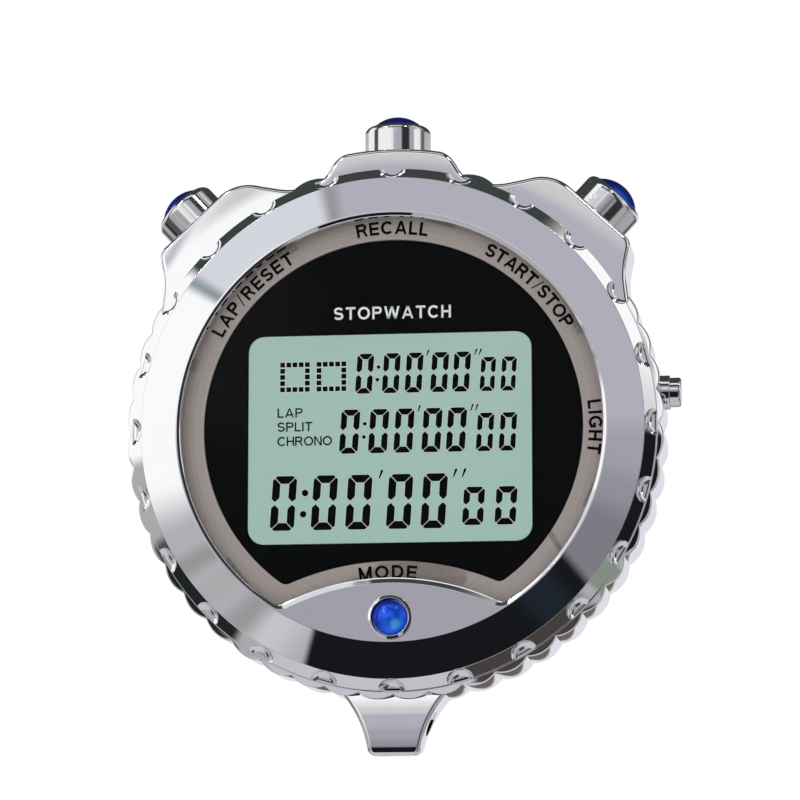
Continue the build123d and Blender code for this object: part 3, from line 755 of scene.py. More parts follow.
def rounded_rectangle(size_across, size_up, corner_r, centre=(0, 0), steps=10):
    """Clockwise outline with rounded corners."""
    half_across = size_across / 2 - corner_r
    half_up = size_up / 2 - corner_r
    outline = []
    for across, up, start in ((half_across, half_up, 0), (half_across, -half_up, 90),
                              (-half_across, -half_up, 180), (-half_across, half_up, 270)):
        for turn in np.radians(np.linspace(start, start + 90, steps)):
            outline.append((across + corner_r * math.sin(turn), up + corner_r * math.cos(turn)))
    return np.array(outline) + centre


def dial_plate():
    """Black plate with the display window."""
    top = node_top("dial_plate")
    bottom = node_foot("dial_plate")
    plate = new_object("plate", window_slab(DIAL_OUTLINE, bottom, top))
    outline = rounded_rectangle(WINDOW_ACROSS, WINDOW_UP, WINDOW_CORNER, WINDOW_CENTRE)
    window = loft([at_height(outline, bottom - 1), at_height(outline, top + 1)])
    return carve(plate, [window])


# ---- display ----
SLANT = 0.065
INK = 0.02                # thickness of printed and liquid-crystal marks


def segment_shapes(width, height, stroke):
    """The six lit segments of a nought, as outlines from its lower left corner."""
    gap = 0.08
    corner = 0.55 * stroke
    near = (corner + gap) / 2
    far = (corner - gap) / 2
    tip = 0.045 * height ** 0.5 + 0.05
    top_bar = [(corner, height), (width - corner, height), (width - near, height - far),
               (width - stroke - gap, height - stroke), (stroke + gap, height - stroke), (near, height - far)]
    middle = height / 2
    upper = [(0, height - corner), (far, height - near), (stroke, height - stroke - gap),
             (stroke, middle + tip + 0.55 * stroke), (0.45 * stroke, middle + tip),
             (0, middle + tip + 0.4 * stroke)]
    shapes = [np.array(top_bar), np.array(upper), np.array(upper) * (-1, 1) + (width, 0)]
    return shapes + [shape * (1, -1) + (0, height) for shape in shapes]


def nought(left, right, bottom, top, stroke):
    """Segments of a slanted nought that fills a box."""
    height = top - bottom
    width = right - left - SLANT * height
    placed = []
    for shape in segment_shapes(width, height, stroke):
        placed.append(np.stack([left + shape[:, 0] + SLANT * shape[:, 1], bottom + shape[:, 1]], -1))
    return placed


def dot(across, up, radius):
    angles = even_angles(24)
    return np.stack([across + radius * np.sin(angles), up + radius * np.cos(angles)], -1)


def tick(left, right, bottom, top):
    """Slanted wedge of a minutes or seconds mark, in a box."""
    width = right - left
    return np.array([(left, bottom), (left + 0.45 * width, top), (right, top), (left + 0.22 * width, bottom)])


def dotted_square(left, top, count=5, size=0.61, pitch=0.79):
    """Outline of a five by five dot character."""
    shapes = []
    for row in range(count):
        for column in range(count):
            if row in (0, count - 1) or column in (0, count - 1):
                across = left + column * pitch
                up = top - row * pitch
                shapes.append(np.array([(across, up), (across + size, up), (across + size, up - size),
                                        (across, up - size)]))
    return shapes


def time_row(top, bottom, stroke, lefts, width, small, colon, ticks):
    """Shapes of one line of the display: five large noughts, two small ones, a colon and its marks.

    small is (top, bottom, width, lefts); colon is (radius, lower dot, upper dot); ticks are (left, width)
    pairs under a common top, all in millimetres about the display's centre."""
    shapes = []
    for left in lefts:
        shapes += nought(left, left + width, bottom, top, stroke)
    small_top, small_bottom, small_width, small_lefts = small
    for left in small_lefts:
        shapes += nought(left, left + small_width, small_bottom, small_top, 0.84 * stroke)
    radius, lower, upper = colon
    shapes += [dot(*lower, radius), dot(*upper, radius)]
    tick_top, tick_height, tick_lefts, tick_width = ticks
    for left in tick_lefts:
        shapes.append(tick(left, left + tick_width, tick_top - tick_height, tick_top))
    return shapes


def display_shapes():
    """Every lit shape except the words, about the display's centre."""
    shapes = dotted_square(-13.93, 9.88) + dotted_square(-9.28, 9.88)
    shapes += time_row(10.8, 5.71, 0.7, [-4.39, -1.0, 1.9, 5.13, 7.91], 2.46,
                       (10.05, 5.71, 2.14, [11.38, 14.01]), (0.24, (-1.54, 7.46), (-1.39, 9.06)),
                       (11.13, 0.82, [4.63, 10.72, 11.28], 0.5))
    shapes += time_row(3.7, -1.9, 0.77, [-6.43, -2.75, 0.46, 4.0, 7.1], 2.75,
                       (2.95, -1.9, 2.39, [10.88, 13.76]), (0.24, (-3.25, 0.19), (-3.13, 1.86)),
                       (4.09, 0.9, [3.53, 10.2, 10.8], 0.5))
    shapes += time_row(-4.6, -11.53, 0.98, [-15.2, -10.01, -5.64, -0.48, 3.88], 3.53,
                       (-6.38, -11.21, 2.96, [9.11, 13.19]), (0.425, (-10.93, -9.48), (-10.7, -6.79)),
                       (-4.06, 1.13, [-1.38, 7.98, 9.11], 0.66))
    return shapes


def grown(outline, margin):
    """Outline moved outwards, whichever way round it runs."""
    area = np.sum(outline[:, 0] * np.roll(outline[:, 1], -1) - np.roll(outline[:, 0], -1) * outline[:, 1])
    return shifted(outline if area < 0 else outline[::-1], -margin)


def marks(name, shapes, height, margin=0.0):
    """Thin prisms over outlines on the display."""
    skins = []
    for shape in shapes:
        outline = grown(shape, margin) + WINDOW_CENTRE
        skins.append(loft([at_height(outline, height), at_height(outline, height + INK)]))
    return new_object(name, merged(*skins))


def stroke_arc(centre_across, centre_up, reach_across, reach_up, first, last, steps=14):
    """Points of an elliptical arc, in degrees anticlockwise from the right."""
    turns = np.radians(np.linspace(first, last, steps))
    return [(centre_across + reach_across * math.cos(t), centre_up + reach_up * math.sin(t)) for t in turns]


def glyphs(half):
    """Width and strokes of each plain capital, one unit high; half is half the stroke's width."""
    low, high, middle = half, 1 - half, 0.5
    bowl = (high - middle) / 2
    far = 0.8 - half
    belly = stroke_arc(0.38, middle, 0.48 - half, 0.5 - half, -90, 90, 18)
    loop = [(half, high)] + stroke_arc(0.5, middle + bowl, 0.28 - half, bowl, 90, -90, 12) + [(half, middle)]
    open_bowl = stroke_arc(0.48, middle, 0.48 - half, 0.5 - half, 42, 312, 28)
    hook = [(0.9 - half, 0.2), (0.9 - half, 0.42), (0.52, 0.42)]
    top_curl = stroke_arc(0.4, middle + bowl, 0.38 - half, bowl, 20, 270, 16)
    bottom_curl = stroke_arc(0.4, middle - bowl, 0.4 - half, bowl, 90, -160, 16)
    zigzag = [(half, 1.05), (0.35, -0.05), (0.64, 1.05), (0.93, -0.05), (1.28 - half, 1.05)]

    def stem(across):
        return [(across, 0), (across, 1)]

    return {
        "A": (0.95, [[(half * 0.9, -0.05), (0.475, 1.04)], [(0.95 - half * 0.9, -0.05), (0.475, 1.04)],
                     [(0.2, 0.3), (0.75, 0.3)]]),
        "C": (0.9, [stroke_arc(0.48, middle, 0.48 - half, 0.5 - half, 42, 318, 28)]),
        "D": (0.86, [stem(half), [(half, low)] + belly + [(half, high)]]),
        "E": (0.74, [[(0.74, high), (half, high), (half, low), (0.74, low)],
                     [(half, middle), (0.7, middle)]]),
        "G": (0.9, [open_bowl + hook]),
        "H": (0.8, [stem(half), stem(far), [(half, middle), (far, middle)]]),
        "I": (2 * half, [stem(half)]),
        "L": (0.66, [[(half, 1), (half, low), (0.66, low)]]),
        "M": (0.95, [stem(half), stem(0.95 - half), [(half, 1.04), (0.475, 0.0)],
                     [(0.95 - half, 1.04), (0.475, 0.0)]]),
        "N": (0.8, [stem(half), stem(far), [(half, 1.02), (far, -0.02)]]),
        "O": (1.0, [stroke_arc(0.5, middle, 0.5 - half, 0.5 - half, 90, 450, 36)]),
        "P": (0.78, [stem(half), loop]),
        "R": (0.84, [stem(half), loop, [(0.5, middle), (0.84 - half, -0.03)]]),
        "S": (0.8, [top_curl + bottom_curl[1:]]),
        "T": (0.8, [[(0, high), (0.8, high)], [(0.4, high), (0.4, 0)]]),
        "W": (1.28, [list(pair) for pair in zip(zigzag, zigzag[1:])]),
        "/": (0.42, [[(0, -0.05), (0.42, 1.05)]]),
    }


def stroke_outline(path, half):
    """Outline of a stroke of even width along a path, with butt ends."""
    path = np.array(path, float)
    steps = np.diff(path, axis=0)
    steps /= np.linalg.norm(steps, axis=1)[:, None]
    sides = np.stack([steps[:, 1], -steps[:, 0]], -1)
    first = np.concatenate([sides[:1], sides])
    second = np.concatenate([sides, sides[-1:]])
    offsets = (first + second) / (1 + np.sum(first * second, axis=1))[:, None] * half
    return path + offsets, path - offsets


def text_skin(words, cap_height, width, half=0.075, stretch=1.0):
    """Lettering as thin prisms, centred on a baseline at zero and spaced out to its width."""
    shapes = glyphs(half)
    letters = [shapes[letter] for letter in words]
    ink = sum(advance for advance, _ in letters) * stretch
    gap = (width / cap_height - ink) / (len(words) - 1)
    pen = -width / cap_height / 2
    skins = []
    for advance, strokes in letters:
        for path in strokes:
            right, left = stroke_outline([(across * stretch, up) for across, up in path], half)
            right = np.clip(right, (0, 0), (advance * stretch, 1)) + (pen, 0)
            left = np.clip(left, (0, 0), (advance * stretch, 1)) + (pen, 0)
            skins.append(ribbon(right * cap_height, left * cap_height))
        pen += advance * stretch + gap
    return merged(*skins)


def ribbon(right, left):
    """Thin prism between two edges that run side by side."""
    loops = []
    for a, b in zip(right, left):
        loops.append(np.array([(*a, 0), (*a, INK), (*b, INK), (*b, 0)]))
    return loft(loops)


def bent(skin, radius, centre_up, angle, height):
    """Wrap lettering onto an arc: its baseline lies on the radius, at an angle clockwise from the top."""
    vertices, faces = skin
    turn = math.radians(angle) + vertices[:, 0] / radius
    reach = radius + vertices[:, 1]
    placed = np.stack([reach * np.sin(turn), centre_up + reach * np.cos(turn), height + vertices[:, 2]], -1)
    return placed, faces


def display_words():
    """Three function words, left-aligned on the display."""
    skins = []
    for words, bottom, width in (("LAP", 2.84, 3.2), ("SPLIT", 1.06, 4.45), ("CHRONO", -0.78, 6.95)):
        vertices, faces = text_skin(words, 1.18, width, 0.075)
        place = (*(WINDOW_CENTRE + (width / 2 - 14.25, bottom)), node_top("lcd_cell") + INK)
        skins.append((vertices + place, faces))
    return new_object("display_words", merged(*skins))


def dial_title():
    vertices, faces = text_skin("STOPWATCH", 1.62, 14.9, 0.088, 0.94)
    return new_object("dial_title", (vertices + (-0.05, 13.9, node_top("dial_plate")), faces))


def ring_labels():
    """Function names around the ring, each over its button."""
    height = node_top("dial_ring")
    inner = FIELD_R + 0.72
    label = 1.72
    around_dial = [("RECALL", 0, 8.9), ("LAP/RESET", -45.7, 13.4), ("START/STOP", 44.4, 14.2),
                   ("LIGHT", 91, 6.6)]
    skins = [bent(text_skin(words, label, width, 0.1, 0.94), inner, 0, angle, height)
             for words, angle, width in around_dial]
    bridge_label_r = BRIDGE_R + 0.78
    skins.append(bent(text_skin("MODE", 1.7, 7.1, 0.1, 0.98), bridge_label_r, BRIDGE_UP, -1.0, height))
    return new_object("ring_labels", merged(*skins))


def lcd_panel():
    """Display glass: two sheets and the filter that fills the window."""
    foot = node_foot("lcd_cell")
    joint = 15.0
    window = node_foot("dial_plate")
    sheets = [(rounded_rectangle(41.0, 33.0, 0.2, WINDOW_CENTRE, 3), foot, joint),
              (rounded_rectangle(41.0, 30.0, 0.2, WINDOW_CENTRE, 3), joint, window),
              (rounded_rectangle(WINDOW_ACROSS - 0.1, WINDOW_UP - 0.1, WINDOW_CORNER - 0.05, WINDOW_CENTRE),
               window, node_top("lcd_cell"))]
    skins = [loft([at_height(outline, low), at_height(outline, high)]) for outline, low, high in sheets]
    return new_object("lcd_panel", merged(*skins))


# ---- buttons, drawn along their own axis from the dial axis outwards ----

def grooved_stem(radius, foot, grooves):
    """Stem from its foot outwards, with square grooves given as (depth, start, end)."""
    profile = [(radius, foot, 0)]
    for depth, start, end in grooves:
        floor = radius - depth
        profile += [(radius, start, 0), (floor, start, 0), (floor, end, 0), (radius, end, 0)]
    return profile


def barrel_button(plateau, top):
    """Rounded barrel on a grooved stem, hollow below for its spring, recessed above for its cap."""
    seal = plateau - 4.8
    skirt = plateau - 1.6
    roof = top - BARREL_ROOF
    hollow_r = 3.1
    seat_r = JEWEL_R + 0.02
    stem = grooved_stem(STEM_R, 27.4, [(CLIP_GROOVE, 28.4, 28.7), (SEAL_GROOVE, seal - 0.24, seal + 0.24)])
    barrel = [(STEM_R, roof, 0), (hollow_r, roof, 0), (hollow_r, skirt, 0), (BARREL_R, skirt, 0.1),
              (BARREL_R, top, 0.9), (seat_r, top, 0.06), (seat_r, top - 0.5, 0)]
    return rounded(stem + barrel, steps=10, support=0.03)


def jewel(radius, rise, base):
    """Cabochon: a short cylinder under a spherical cap."""
    ball_r = (radius ** 2 + rise ** 2) / (2 * rise)
    edge = math.asin(radius / ball_r)
    profile = [(radius - 0.05, base - 0.48), (radius, base - 0.43), (radius, base - 0.04)]
    for turn in np.linspace(edge * 0.99, 0.004, 24):
        profile.append((ball_r * math.sin(turn), base + rise - ball_r + ball_r * math.cos(turn)))
    return profile


def light_head():
    """Plain push-button on a thin stem with a chamfered tip."""
    stem_r = 0.8
    head_r = 1.86
    top = 36.0
    tip = [(0.55, 26.5, 0)]
    stem = grooved_stem(stem_r, 26.75, [(CLIP_GROOVE, 28.2, 28.5), (SEAL_GROOVE, 31.06, 31.54)])
    head = [(stem_r, LIGHT_HEAD_FOOT, 0), (head_r, LIGHT_HEAD_FOOT, 0.08), (head_r, top, 0.35), (0.1, top, 0)]
    return rounded(tip + stem + head, steps=8, support=0.02)


def light_bush():
    """Sleeve round the light button, with the seat of its spring inside."""
    foot = 29.6
    mouth = 34.6
    outer_r = LIGHT_BUSH_R
    return rounded([(0.84, foot, 0), (0.84, LIGHT_SEAT, 0), (1.9, LIGHT_SEAT, 0), (1.9, mouth, 0.08),
                    (outer_r, mouth, 0.1), (outer_r, foot, 0.1)], steps=5, support=0.01, closed=True)


def mode_bush():
    """Collar round the mode button, with a flange that falls outwards over the bezel."""
    foot = node_foot("mode_bush")
    flange = node_top("mode_bush")
    return rounded([(2.35, foot, 0), (2.35, flange, 0.06), (2.75, flange - 0.15, 0.05), (2.75, BEZEL_TOP, 0),
                    (2.48, BEZEL_TOP, 0), (2.48, foot, 0)], steps=6, support=0.01, closed=True)


def mode_plunger():
    """Stem and head of the mode button; its cap sits on the head."""
    stem_r = 0.9
    head_r = 2.31
    foot = MODE_HEAD_FOOT
    top = MODE_CAP_BASE - 0.5
    stem = grooved_stem(stem_r, 11.5, [(CLIP_GROOVE, 13.2, 13.5)])
    head = [(stem_r, foot, 0), (head_r, foot, 0.1), (head_r, top, 0.1), (0.1, top, 0)]
    return rounded(stem + head, steps=4, support=0.02)


def coil(mean_r, wire_r, bottom, top, turns, samples=48, sides=10):
    """Open coil spring about the drawing axis."""
    steps = int(turns * samples)
    rise = top - bottom - 2 * wire_r
    loops = []
    for t in np.linspace(0, 1, steps + 1):
        turn = 2 * math.pi * turns * t
        out = np.array([math.cos(turn), math.sin(turn), 0.0])
        centre = mean_r * out + np.array([0, 0, bottom + wire_r + rise * t])
        sweep = even_angles(sides)
        loops.append(centre + wire_r * (np.outer(np.cos(sweep), out) + np.outer(np.sin(sweep), (0, 0, 1))))
    return loft(loops)


# ---- materials ----
NOISE_LOW = 0.3                     # the range of a noise that is spread over a material's values
NOISE_HIGH = 0.7


def add_node(tree, kind, inputs=(), **settings):
    """New shader node; an input is given as a value or as another node's output."""
    node = tree.nodes.new("ShaderNode" + kind)
    for name, value in settings.items():
        setattr(node, name, value)
    for name, value in dict(inputs).items():
        plug(tree, node.inputs[name], value)
    return node


def plug(tree, socket, value):
    if isinstance(value, bpy.types.NodeSocket):
        tree.links.new(value, socket)
    else:
        socket.default_value = value


def new_material(name, colour, roughness, metallic=0.0):
    """A new material, its node tree and its shader."""
    material = bpy.data.materials.new(name)
    material.use_nodes = True
    tree = material.node_tree
    shader = tree.nodes["Principled BSDF"]
    shader.inputs["Base Color"].default_value = (*colour, 1)
    shader.inputs["Roughness"].default_value = roughness
    shader.inputs["Metallic"].default_value = metallic
    return material, tree, shader


def noise(tree, scale, stretch=(1, 1, 1), detail=4.0):
    """Noise over the object's own position; scale is in waves per metre."""
    position = add_node(tree, "TexCoord").outputs["Object"]
    mapping = add_node(tree, "Mapping", {"Vector": position, "Scale": stretch})
    place = mapping.outputs["Vector"]
    return add_node(tree, "TexNoise", {"Vector": place, "Scale": scale, "Detail": detail}).outputs["Fac"]


def spread(tree, source, target, low, high):
    """Drive an input between two values."""
    stage = add_node(tree, "MapRange", {"Value": source, "From Min": NOISE_LOW, "From Max": NOISE_HIGH,
                                        "To Min": low, "To Max": high})
    tree.links.new(stage.outputs["Result"], target)


def mottle(tree, source, target, first, second):
    """Drive a colour between two shades."""
    ramp = add_node(tree, "ValToRGB", {"Fac": source})
    for stop, place, colour in zip(ramp.color_ramp.elements, (NOISE_LOW, NOISE_HIGH), (first, second)):
        stop.position = place
        stop.color = (*colour, 1)
    tree.links.new(ramp.outputs["Color"], target)


def roughen(tree, shader, source, strength, distance=0.00002):
    """Raise the surface by a pattern; the distance is in metres."""
    bump = add_node(tree, "Bump", {"Height": source, "Strength": strength, "Distance": distance})
    tree.links.new(bump.outputs["Normal"], shader.inputs["Normal"])


def shade(colour, factor):
    return tuple(factor * value for value in colour)


def polished(name, colour, low=0.015, high=0.045):
    """Mirror plating with faint handling marks."""
    material, tree, shader = new_material(name, colour, low, 1.0)
    spread(tree, noise(tree, 260, detail=8), shader.inputs["Roughness"], low, high)
    mottle(tree, noise(tree, 90), shader.inputs["Base Color"], colour, shade(colour, 0.985))
    return material


def brushed(name, colour, roughness, stretch):
    """Metal with fine lines, close together where stretch is large."""
    material, tree, shader = new_material(name, colour, roughness, 1.0)
    lines = noise(tree, 900, stretch, 6)
    mottle(tree, lines, shader.inputs["Base Color"], shade(colour, 0.86), colour)
    spread(tree, lines, shader.inputs["Roughness"], roughness * 0.8, roughness * 1.25)
    roughen(tree, shader, lines, 0.15, 0.00001)
    return material


def ring_brushed(name, colour, roughness, metallic=1.0, lines_per_metre=3200):
    """Metal turned about the dial axis: fine concentric lines."""
    material, tree, shader = new_material(name, colour, roughness, metallic)
    position = add_node(tree, "TexCoord").outputs["Object"]
    parts = add_node(tree, "SeparateXYZ", {"Vector": position}).outputs
    flat = add_node(tree, "CombineXYZ", {"X": parts["X"], "Y": parts["Z"]}).outputs["Vector"]
    distance = add_node(tree, "VectorMath", operation="LENGTH")
    tree.links.new(flat, distance.inputs[0])
    texture = add_node(tree, "TexNoise", {"Scale": lines_per_metre, "Detail": 5}, noise_dimensions="1D")
    tree.links.new(distance.outputs["Value"], texture.inputs["W"])
    lines = texture.outputs["Fac"]
    mottle(tree, lines, shader.inputs["Base Color"], shade(colour, 0.84), colour)
    spread(tree, lines, shader.inputs["Roughness"], roughness * 0.8, roughness * 1.2)
    roughen(tree, shader, lines, 0.1, 0.00001)
    return material


def moulded(name, colour, roughness, grain=2500, coat=0.0, sheen=0.5):
    """Plastic, rubber, ceramic or lacquer with a fine grain."""
    material, tree, shader = new_material(name, colour, roughness)
    grains = noise(tree, grain, detail=5)
    paler = tuple(min(1.0, 1.12 * value + 0.002) for value in colour)
    mottle(tree, grains, shader.inputs["Base Color"], colour, paler)
    spread(tree, grains, shader.inputs["Roughness"], roughness * 0.85, min(1.0, roughness * 1.15))
    roughen(tree, shader, grains, 0.12)
    shader.inputs["Coat Weight"].default_value = coat
    shader.inputs["Specular IOR Level"].default_value = sheen
    return material


def mixed(tree, factor, first, second):
    """Surface made of two shaders."""
    mix = add_node(tree, "MixShader", {"Fac": factor})
    tree.links.new(first, mix.inputs[1])
    tree.links.new(second, mix.inputs[2])
    tree.links.new(mix.outputs["Shader"], tree.nodes["Material Output"].inputs["Surface"])


def crystal_material(name):
    """Clear coated crystal: a faint reflection over full transparency."""
    material = bpy.data.materials.new(name)
    material.use_nodes = True
    tree = material.node_tree
    tree.nodes.remove(tree.nodes["Principled BSDF"])
    clear = add_node(tree, "BsdfTransparent", {"Color": (0.995, 1.0, 0.998, 1)})
    gloss = add_node(tree, "BsdfGlossy")
    spread(tree, noise(tree, 120, detail=3), gloss.inputs["Roughness"], 0.01, 0.05)
    fresnel = add_node(tree, "Fresnel", {"IOR": 1.12})
    mixed(tree, fresnel.outputs["Fac"], clear.outputs["BSDF"], gloss.outputs["BSDF"])
    return material


def jewel_material(name):
    """Deep cobalt cabochon: a blue foil under a thin clear glaze, with painted light: an emission that is
    brightest where the surface faces low right and dark navy elsewhere.
    """
    material, tree, shader = new_material(name, (0.03, 0.14, 1.0), 0.3, 1.0)
    shader.inputs["Specular Tint"].default_value = (0.05, 0.1, 0.6, 1)
    shader.inputs["Coat Weight"].default_value = 0.5
    shader.inputs["Coat Roughness"].default_value = 0.02
    # Painted light: this emission, graded by which way the surface faces, stands in for light caught in the stone
    # and for its shading.
    shader.inputs["Emission Strength"].default_value = 0.6
    surface = add_node(tree, "NewGeometry")
    towards = add_node(tree, "VectorMath", operation="DOT_PRODUCT")
    tree.links.new(surface.outputs["Normal"], towards.inputs[0])
    towards.inputs[1].default_value = (0.27, -0.89, -0.36)
    painted_glow = add_node(tree, "ValToRGB", {"Fac": towards.outputs["Value"]})
    first, last = painted_glow.color_ramp.elements
    first.color = (0.008, 0.008, 0.08, 1)
    last.color = (0.08, 0.42, 0.85, 1)
    stops = ((0.3, (0.010, 0.010, 0.10)), (0.8, (0.002, 0.045, 0.42)), (0.95, (0.01, 0.11, 0.62)))
    for place, colour in stops:
        painted_glow.color_ramp.elements.new(place).color = (*colour, 1)
    tree.links.new(painted_glow.outputs["Color"], shader.inputs["Emission Color"])
    swirl = noise(tree, 500, detail=3)
    mottle(tree, swirl, shader.inputs["Base Color"], (0.01, 0.06, 0.55), (0.02, 0.09, 0.7))
    spread(tree, swirl, shader.inputs["Roughness"], 0.26, 0.34)
    return material


def display_material(name):
    """Reflective display: pale grey-green with soft clouding and fine grain."""
    material, tree, shader = new_material(name, (0.45, 0.647, 0.568), 0.35)
    shader.inputs["Specular IOR Level"].default_value = 0.15
    clouds = noise(tree, 45, detail=2)
    mottle(tree, clouds, shader.inputs["Base Color"], (0.443, 0.650, 0.575), (0.469, 0.644, 0.562))
    roughen(tree, shader, noise(tree, 6000), 0.05)
    return material


CHROME = (0.95, 0.955, 0.965)
MAKERS = {
    "chrome_case": (polished, CHROME),
    "chrome_bezel": (polished, CHROME, 0.01, 0.03),
    "chrome_button": (polished, (0.86, 0.86, 0.865), 0.08, 0.12),
    "steel_cover": (ring_brushed, (0.72, 0.72, 0.73), 0.36, 1.0, 9000),
    "spring_steel": (brushed, (0.55, 0.55, 0.56), 0.25, (1, 1, 6)),
    "crystal_glass": (crystal_material,),
    "lcd_glass": (display_material,),
    "dial_black": (moulded, (0.0009, 0.0011, 0.0018), 0.3, 1500, 0.0, 0.02),
    "dial_ring_grey": (ring_brushed, (0.51, 0.445, 0.42), 0.5, 0.2),
    "rubber_black": (moulded, (0.03, 0.03, 0.03), 0.8),
    "gasket_film": (moulded, (0.1, 0.1, 0.1), 0.7),
    "jewel_blue": (jewel_material,),
    "moulding_white": (moulded, (0.75, 0.75, 0.72), 0.55),
    "moulding_black": (moulded, (0.04, 0.04, 0.04), 0.55),
    "light_guide_clear": (moulded, (0.8, 0.85, 0.82), 0.3),
    "pcb_green": (moulded, (0.02, 0.18, 0.07), 0.4, 2500, 0.4),
    "epoxy_black": (moulded, (0.02, 0.02, 0.02), 0.25),
    "ceramic_cap": (moulded, (0.55, 0.42, 0.28), 0.6),
    "led_body": (moulded, (0.85, 0.85, 0.75), 0.35),
    "brass_plain": (brushed, (0.72, 0.55, 0.25), 0.3, (1, 1, 8)),
    "piezo_ceramic": (moulded, (0.8, 0.78, 0.7), 0.45),
    "cell_steel": (brushed, (0.66, 0.66, 0.66), 0.3, (8, 1, 1)),
    "ink_black": (moulded, (0.004, 0.0035, 0.0035), 0.6, 2500, 0.0, 0.02),
    "ink_white": (moulded, (0.86, 0.87, 0.88), 0.5),
    "segment_black": (moulded, (0.0012, 0.0016, 0.002), 0.6, 2500, 0.0, 0.02),
    "segment_halo": (moulded, (0.68, 0.76, 0.71), 0.6),
}
FINISHES = {}


def finish_of(name):
    """The material of that name, made the first time it is asked for."""
    if name not in FINISHES:
        maker, *values = MAKERS[name]
        FINISHES[name] = maker(name, *values)
    return FINISHES[name]


def paint_cad_nodes():
    """Give every CAD node the material of its slot; pieces that stand for one hide it."""
    for part in frame["record"]["subparts"]:
        node = frame["nodes"][part["node"]]
        node.data.materials.clear()
        node.data.materials.append(finish_of(part["material_slot"]))


# ---- assembly ----

def add_fixed_pieces():
    settle(bezel(), "chrome_bezel", ["front_bezel"])
    settle(middle_case(), "chrome_case", ["middle_case"])
    settle(back_cover(), "steel_cover", ["back_cover"])
    settle(cover_screws(), "spring_steel", ["back_cover_screws"])
    settle(lens(), "crystal_glass", ["lens"])
    settle(dial_ring(), "dial_ring_grey", ["dial_ring"])
    settle(dial_plate(), "dial_black", ["dial_plate"])
    settle(lcd_panel(), "lcd_glass", ["lcd_cell"])
    collar = new_object("mode_collar", moved(turned(mode_bush(), 192, closed=True), 0, MODE_UP))
    settle(collar, "chrome_bezel", ["mode_bush"])
    collar = aimed(turned(light_bush(), 192, closed=True), outward("light_press"))
    settle(new_object("light_collar", moved(collar, 0, LIGHT_UP)), "chrome_button", ["light_bush"])


def add_printing():
    front = node_top("lcd_cell")
    shapes = display_shapes()
    settle(marks("segment_halo", shapes, front, margin=0.07), "lcd_glass", finish="segment_halo")
    settle(marks("segments", shapes, front + INK), "lcd_glass", finish="segment_black")
    settle(display_words(), "lcd_glass", finish="segment_black")
    settle(dial_title(), "dial_black", finish="ink_white")
    settle(ring_labels(), "dial_ring_grey", finish="ink_black")


def add_large_button(name, plateau, stand_out):
    """Button, blue cap and spring of one large push-button."""
    body = f"{name}_body"
    out = outward(f"{name}_press")
    floor = plateau - POCKET_DEPTH
    top = plateau + stand_out
    roof = top - BARREL_ROOF
    barrel = new_object(f"{name}_barrel", aimed(turned(barrel_button(plateau, top), 256), out))
    settle(barrel, "chrome_button", [f"{name}_button"], body)
    cap = new_object(f"{name}_cap", aimed(turned(jewel(JEWEL_R, JEWEL_RISE, top), 192), out))
    settle(cap, "jewel_blue", [f"{name}_jewel"], body)
    wire = new_object(f"{name}_coil", aimed(coil(2.1, 0.2, floor, roof, 5), out))
    add_spring(wire, f"{name}_spring")


def along(out, distance):
    """Point on a button's axis, in the frame's metres."""
    return np.array([out[0] * distance, -BUTTON_AXIS, out[2] * distance]) * MM


def add_spring(wire, node):
    """A coil between the case and its button, in spring steel, in place of its CAD node."""
    wire.data.materials.append(finish_of("spring_steel"))
    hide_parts(node)
    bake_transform(wire)


def add_light_button():
    out = outward("light_press")
    body = "light_body"
    head = new_object("light_head", moved(aimed(turned(light_head(), 192), out), 0, LIGHT_UP))
    settle(head, "chrome_button", ["light_button"], body)
    coil_skin = aimed(coil(1.35, 0.12, LIGHT_SEAT, LIGHT_HEAD_FOOT, 2.5), out)
    wire = new_object("light_coil", moved(coil_skin, 0, LIGHT_UP))
    add_spring(wire, "light_spring")


def add_mode_button():
    body = "mode_body"
    plunger = new_object("mode_plunger", moved(turned(mode_plunger(), 128), 0, MODE_UP))
    settle(plunger, "chrome_button", ["mode_button"], body)
    cap = new_object("mode_cap", moved(turned(jewel(2.15, 1.0, MODE_CAP_BASE), 192), 0, MODE_UP))
    settle(cap, "jewel_blue", ["mode_jewel"], body)
    foot = node_top("lcd_cell")
    wire = new_object("mode_coil", moved(coil(1.55, 0.1, foot, MODE_HEAD_FOOT, 3), 0, MODE_UP))
    add_spring(wire, "mode_spring")


# ---- studio ----

def add_floor():
    """Pale plain floor that is clear from below, where the low camera looks through it."""
    level = CAD_BOX[0].z
    half = 3.0
    mesh = bpy.data.meshes.new("floor")
    corners = [(across * half, back * half, level) for across, back in ((-1, -1), (1, -1), (1, 1), (-1, 1))]
    mesh.from_pydata(corners, [], [(0, 1, 2, 3)])
    floor = linked("floor", mesh)
    floor.visible_glossy = False
    floor.visible_diffuse = False
    material, tree, shader = new_material("floor_pale", (0.86, 0.86, 0.87), 0.6)
    mottle(tree, noise(tree, 14), shader.inputs["Base Color"], (0.85, 0.85, 0.86), (0.88, 0.88, 0.885))
    from_below = add_node(tree, "NewGeometry").outputs["Backfacing"]
    clear = add_node(tree, "BsdfTransparent").outputs["BSDF"]
    mixed(tree, from_below, shader.outputs["BSDF"], clear)
    mesh.materials.append(material)


